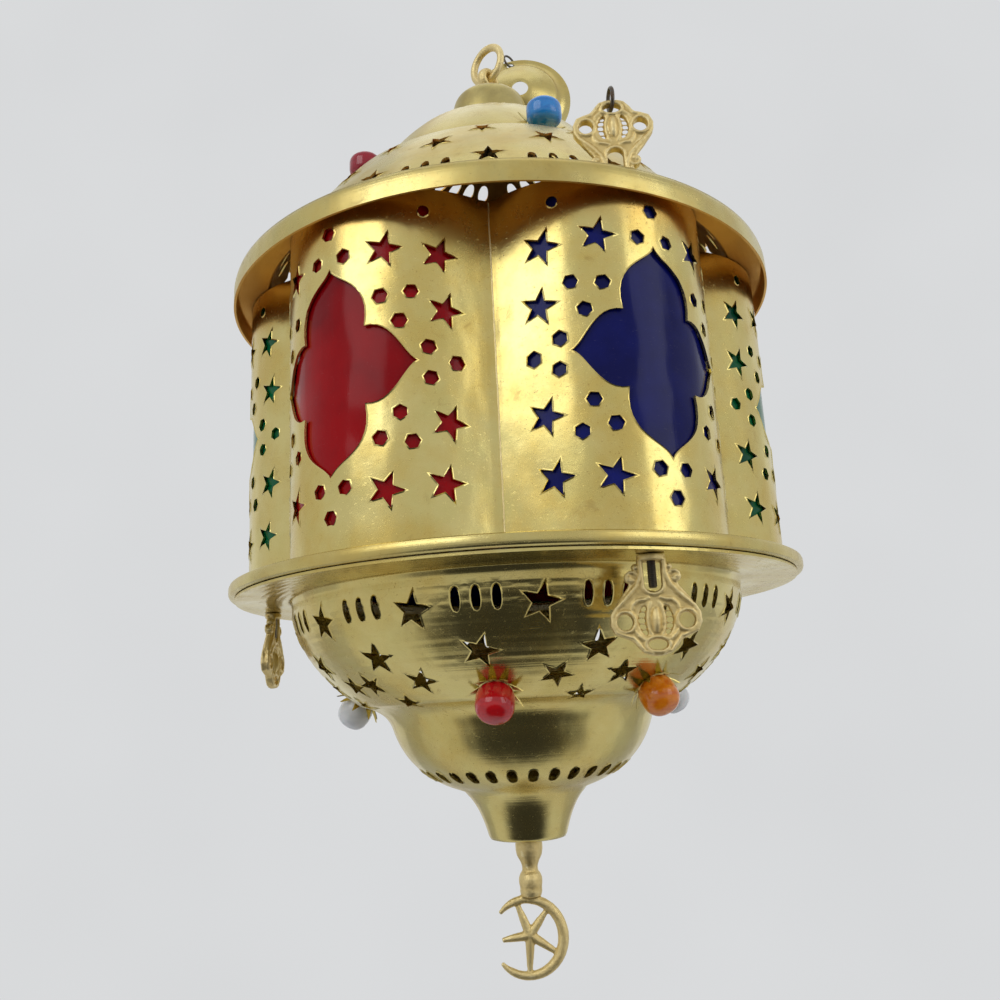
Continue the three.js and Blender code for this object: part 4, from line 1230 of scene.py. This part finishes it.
eye_ring = tube([(0, y, z) for y, z in oval(0, EYE_Z, 3.77, 3.77, 32)], 1.4, 12, True)
eye_neck = [(0, 205.3), (3.15, 205.3), (3.0, 206.4), (2.3, 207.4), (2.4, 209.4), (2.1, 210.6), (0, 210.6)]
eye_stem = [(0, 175.6), (1.6, 175.6), (2, 176), (2, 207), (0, 207)]
cast("eye_casting", [stretched(eye_ring, 1.6, 1), lathe(eye_neck, 24), lathe(eye_stem, 20)], 0.3, on_ring,
     "ring_eye", 2)

ring_path = [(x, 0, z) for x, z in oval(0, EYE_Z + RING_R, RING_R, RING_R, 72)]
ring_shape = moved(tube(ring_path, 1.48, 16, True), lambda p: p + noise.noise_vector(p * 0.35) * 0.09)
rigid("hanging_ring_casting", ring_shape, brass_cast, on_ring, "hanging_ring", "hanging_ring",
      "cast_brass", 180)

CANOPY_TURN, CANOPY_SIDE, CANOPY_AWAY, CANOPY_Z = 177.0, -12.9, 17.2, 215.7


def on_canopy(p):
    return turn_point((p[0] + CANOPY_SIDE, p[2] - CANOPY_AWAY, CANOPY_Z - p[1]), CANOPY_TURN)


def canopy_way(n):
    return turn_point((n[0], n[2], -n[1]), CANOPY_TURN)


canopy_path = [(21.3, 0), (19.6, 0)] + arc((19.6, 0), (17.0, 0.9), (15.7, 3.5), 6)
canopy_path += [(15.3, 4.1), (14.7, 4.4)] + arc((14.3, 4.5), (10.2, 7.6), (4.8, 9.65), 10)
canopy_path += [(4.3, 9.8), (3.5, 9.8)]
canopy_profile = Profile(canopy_path)
canopy_hole = [(11, canopy_profile.find_r(18.8, 2.4), round_loop(1.8, 16))]
points, faces, normals = revolve(canopy_profile, canopy_hole, [(0, 180), (canopy_profile.s[-1], 180)], 2.0,
                                 lambda s: 1.0, 0.1, fixed=90)
piece("canopy_cup", [on_canopy(p) for p in points], faces, brass_dome, "canopy", replaces=["canopy"],
      normals=[canopy_way(n) for n in normals])
link_loop = []
for a in circle(28):
    across = 2.8 * math.cos(a) * math.cos(rad(45))
    link_loop.append(turn_point((-across, 2.8 * math.sin(a) - 21.7, -across - 0.4), 11))
rigid("canopy_link_wire", tube(link_loop, 0.45, 10, True), steel, on_canopy, "canopy_link", "canopy_link")

CRESCENT = Vector((-1.5, 0, -114.3))
CRESCENT_R, CRESCENT_INNER_R, CRESCENT_SHIFT = 13.3, 10.4, 0.8


def crescent_shape():
    """The space between two circles, open to the left."""
    path, radii = [], []
    for k in range(57):
        a = rad(-141 + 282 * k / 56)
        shift = CRESCENT_SHIFT * math.sin(a)
        inner = math.sqrt(CRESCENT_INNER_R ** 2 - shift ** 2) - CRESCENT_SHIFT * math.cos(a)
        half = (CRESCENT_R - inner) / 2
        middle = CRESCENT_R - half
        path.append(CRESCENT + Vector((middle * math.cos(a), 0, middle * math.sin(a))))
        radii.append(half * min(1, 0.55 + 6 * (0.5 - abs(k / 56 - 0.5))))
    return stretched(tube(path, radii, 12), 1, 0.85)


stem_path = [(0, -83.3), (4.3, -83.3), (4.6, -84.6), (4.6, -86.6), (4.25, -88.4), (3.1, -90.6), (2.65, -92),
             (2.7, -93.4), (3.5, -94.4), (3.95, -95.8), (3.95, -97.4), (3.7, -98.6), (3.75, -100),
             (3.4, -101.4), (0, -102.4)]
stud_path = [(0, -76), (1.6, -76), (1.9, -76.4), (1.9, -84), (0, -84)]
hub = CRESCENT + Vector((0.3, 0, 0.6))
finial_shapes = [lathe(stem_path, 28), lathe(stud_path, 20), crescent_shape(), ball(hub, (2.2, 1.3, 2.2))]
for x, z in ((-9.3, -1.2), (-3.9, 10.1), (6.2, 7.7), (9.4, -6.1), (-0.6, -11.7)):
    tip = hub + Vector((x, 0, z))
    finial_shapes.append(stretched(tube([hub, hub.lerp(tip, 0.5), tip], [1.7, 1.4, 0.8], 8), 1, 0.8))
cast("crescent_finial_casting", finial_shapes, 0.3, Vector, "crescent_finial")

# beads and their prongs


def bead_shape(radius, squareness=2.6):
    """A rounded knob, squarer than a ball, with its axis along +Z."""
    def knob(p):
        size = (math.hypot(p.x, p.y) ** squareness + abs(p.z) ** squareness) ** (-1 / squareness)
        return p * size * radius * (0.985 + 0.012 * noise.noise(p * 1.5))
    return moved(ball((0, 0, 0), (1, 1, 1), 24, 36), knob)


def prong_shape(size):
    """One tongue of the sheet, bent up against a bead that stands on +Z."""
    rings = []
    for r, h, half in ((4.45, -0.3, 1.3), (5.7, 0.7, 1.05), (7.1, 1.6, 0.65), (8.5, 2.9, 0.12)):
        corners = ((r, -half), (r, half), (r + 0.5, half), (r + 0.5, -half))
        rings.append([(x, y, h * size) for x, y in corners])
    points, faces = skin(rings)
    return points, faces + [(3, 2, 1, 0), (12, 13, 14, 15)]


BEAD_OUT = 4.4


def add_beads(prefix, profile, height, beads, half, count, tongue_size):
    """Beads on a row of seats, in prongs. half is a square bead's half sizes across, outwards and up."""
    prongs = []
    r, z, nr, nz = profile.at(profile.find(height))
    for place, (turn, colour) in beads.items():
        seat = turn_point((0, -r, z), turn)
        normal = turn_point((0, -nr, nz), turn)
        side = turn_point((1, 0, 0), turn)
        up = normal.cross(side)
        out = side.cross(Vector((0, 0, 1)))

        def stand(p):
            return seat + side * p[0] + up * p[1] + normal * p[2]

        def upright(p):
            reach = side * (p.x * half[0]) + out * (p.y * half[1]) + Vector((0, 0, p.z * half[2]))
            return seat + normal * BEAD_OUT + reach

        def round_bead(p):
            return stand((p.x, p.y, p.z + BEAD_OUT))

        shape, stands = (bead_shape(0.99, 3.8), upright) if half else (bead_shape(5.95), round_bead)
        rigid(f"{prefix}_bead_glass_{place}", shape, BEAD_PAINT[colour], stands, f"{prefix}_bead_{place}",
              slot=f"bead_{colour}", sharp=180)
        start = rng.uniform(0, 360)
        for k in range(count):
            turned = start + 360 * k / count + jitter(9)
            tongue = prong_shape(tongue_size + jitter(0.1))
            prongs.append(moved(tongue, lambda p: stand(turn_point(p, turned))))
    return clean(piece(f"{prefix}_prongs", *gather(*prongs), brass_spun), 50)


add_beads("dome", dome_profile(), DOME_BEAD_Z, DOME_BEADS, (6.4, 6.0, 4.4), 6, 0.6)
add_beads("bowl", bowl_profile(), BOWL_BEAD_Z, BOWL_BEADS, None, 9, 1)

# studio


def paper(name, size, location, tilt, shown):
    """A stage of matt paper. Where it is shown, camera, metal and glass see it evenly lit."""
    p = Paint(f"{name}_paper")
    tint = p.mix(p.ramp(p.noise(2.0, 2), 0.3, 0.7), PAPER, tuple(c * 0.97 for c in PAPER))
    p.finish(Base_Color=tint, Roughness=0.85)
    if shown:
        path = p.add("ShaderNodeLightPath").outputs
        seen = p.most(path["Is Camera Ray"], p.most(path["Is Glossy Ray"], path["Is Transmission Ray"]))
        glow = p.add("ShaderNodeEmission", Color=tint, Strength=1.0)
        blend = p.add("ShaderNodeMixShader")
        for socket, value in zip(blend.inputs, (seen, p.shader.outputs[0], glow.outputs[0])):
            p.put(socket, value)
        p.put(p.tree.nodes["Material Output"].inputs["Surface"], blend.outputs[0])
    mesh = bpy.data.meshes.new(name)
    x, y = size[0] / 2, size[1] / 2
    mesh.from_pydata([(-x, -y, 0), (x, -y, 0), (x, y, 0), (-x, y, 0)], [], [(0, 1, 2, 3)])
    mesh.materials.append(p.material)
    obj = linked(name, mesh)
    obj.location = location
    obj.rotation_euler = (rad(tilt), 0, 0)


PAPER = (0.70, 0.71, 0.72)
paper("floor", (5, 1.0), (0, 0.81, -0.80), 0, False)
paper("backdrop", (5, 3.4), (0, 1.3, 0.88), 90, True)

CENTRE = Vector((0, 0, -0.17))


def soft_lamp(name, location, size, power):
    lamp = bpy.data.lights.new(name, "AREA")
    lamp.shape = "RECTANGLE"
    lamp.size, lamp.size_y = size
    lamp.energy = power
    obj = linked(name, lamp)
    obj.location = location
    obj.rotation_euler = (CENTRE - Vector(location)).to_track_quat("-Z", "Y").to_euler()


soft_lamp("key", (-0.75, -1.0, 0.55), (0.9, 0.7), 3.2)
soft_lamp("fill", (1.05, -0.7, 0.25), (0.7, 0.8), 2.2)
soft_lamp("top", (0.1, 0.2, 1.1), (1.2, 1.2), 1.6)

# a pale room with a dark side below and in front of the lantern, which the camera sees evenly pale

ROOM_SHOWN = 0.72
DARK_SIDE = (0, -0.66, -0.75)
world = bpy.data.worlds.new("room")
bpy.context.scene.world = world
world.use_nodes = True
sky = Nodes(world.node_tree, "Generated")
toward_dark = sky.add("ShaderNodeVectorMath", {"operation": "DOT_PRODUCT"})
sky.put(toward_dark.inputs[0], sky.place)
sky.put(toward_dark.inputs[1], DARK_SIDE)
strength = sky.times(sky.ramp(sky.axis("Z"), -0.6, 0.4, 0.62, 0.60, "SMOOTHSTEP"),
                     sky.ramp(toward_dark.outputs["Value"], 0.62, 0.86, 1.0, 0.06, "SMOOTHSTEP"))
shown = sky.add("ShaderNodeMix")
sky.put(shown.inputs[0], sky.add("ShaderNodeLightPath").outputs["Is Camera Ray"])
sky.put(shown.inputs[2], strength)
sky.put(shown.inputs[3], ROOM_SHOWN)
background = world.node_tree.nodes["Background"].inputs
sky.put(background["Strength"], shown.outputs[0])
sky.put(background["Color"], (0.98, 0.98, 1.0, 1))

# camera

YAW, PITCH, ROLL = rad(-0.67), rad(13.11), rad(-2.90)
CAMERA_PLACE = (0, -0.3299, -0.2691)
look = Vector((math.sin(YAW) * math.cos(PITCH), math.cos(YAW) * math.cos(PITCH), math.sin(PITCH)))
level = Vector((math.cos(YAW), -math.sin(YAW), 0))
upright = level.cross(look)
right = level * math.cos(ROLL) + upright * math.sin(ROLL)
up = upright * math.cos(ROLL) - level * math.sin(ROLL)
camera = bpy.data.cameras.new("camera")
camera.sensor_width = 36
camera.lens = 32.85
camera.clip_start = 0.02
camera_object = linked("camera", camera)
turned = Matrix((right, up, -look)).transposed().to_4x4()
camera_object.matrix_world = Matrix.Translation(CAMERA_PLACE) @ turned
bpy.context.scene.camera = camera_object
bpy.context.scene.view_settings.view_transform = "Standard"

bpy.context.view_layer.update()
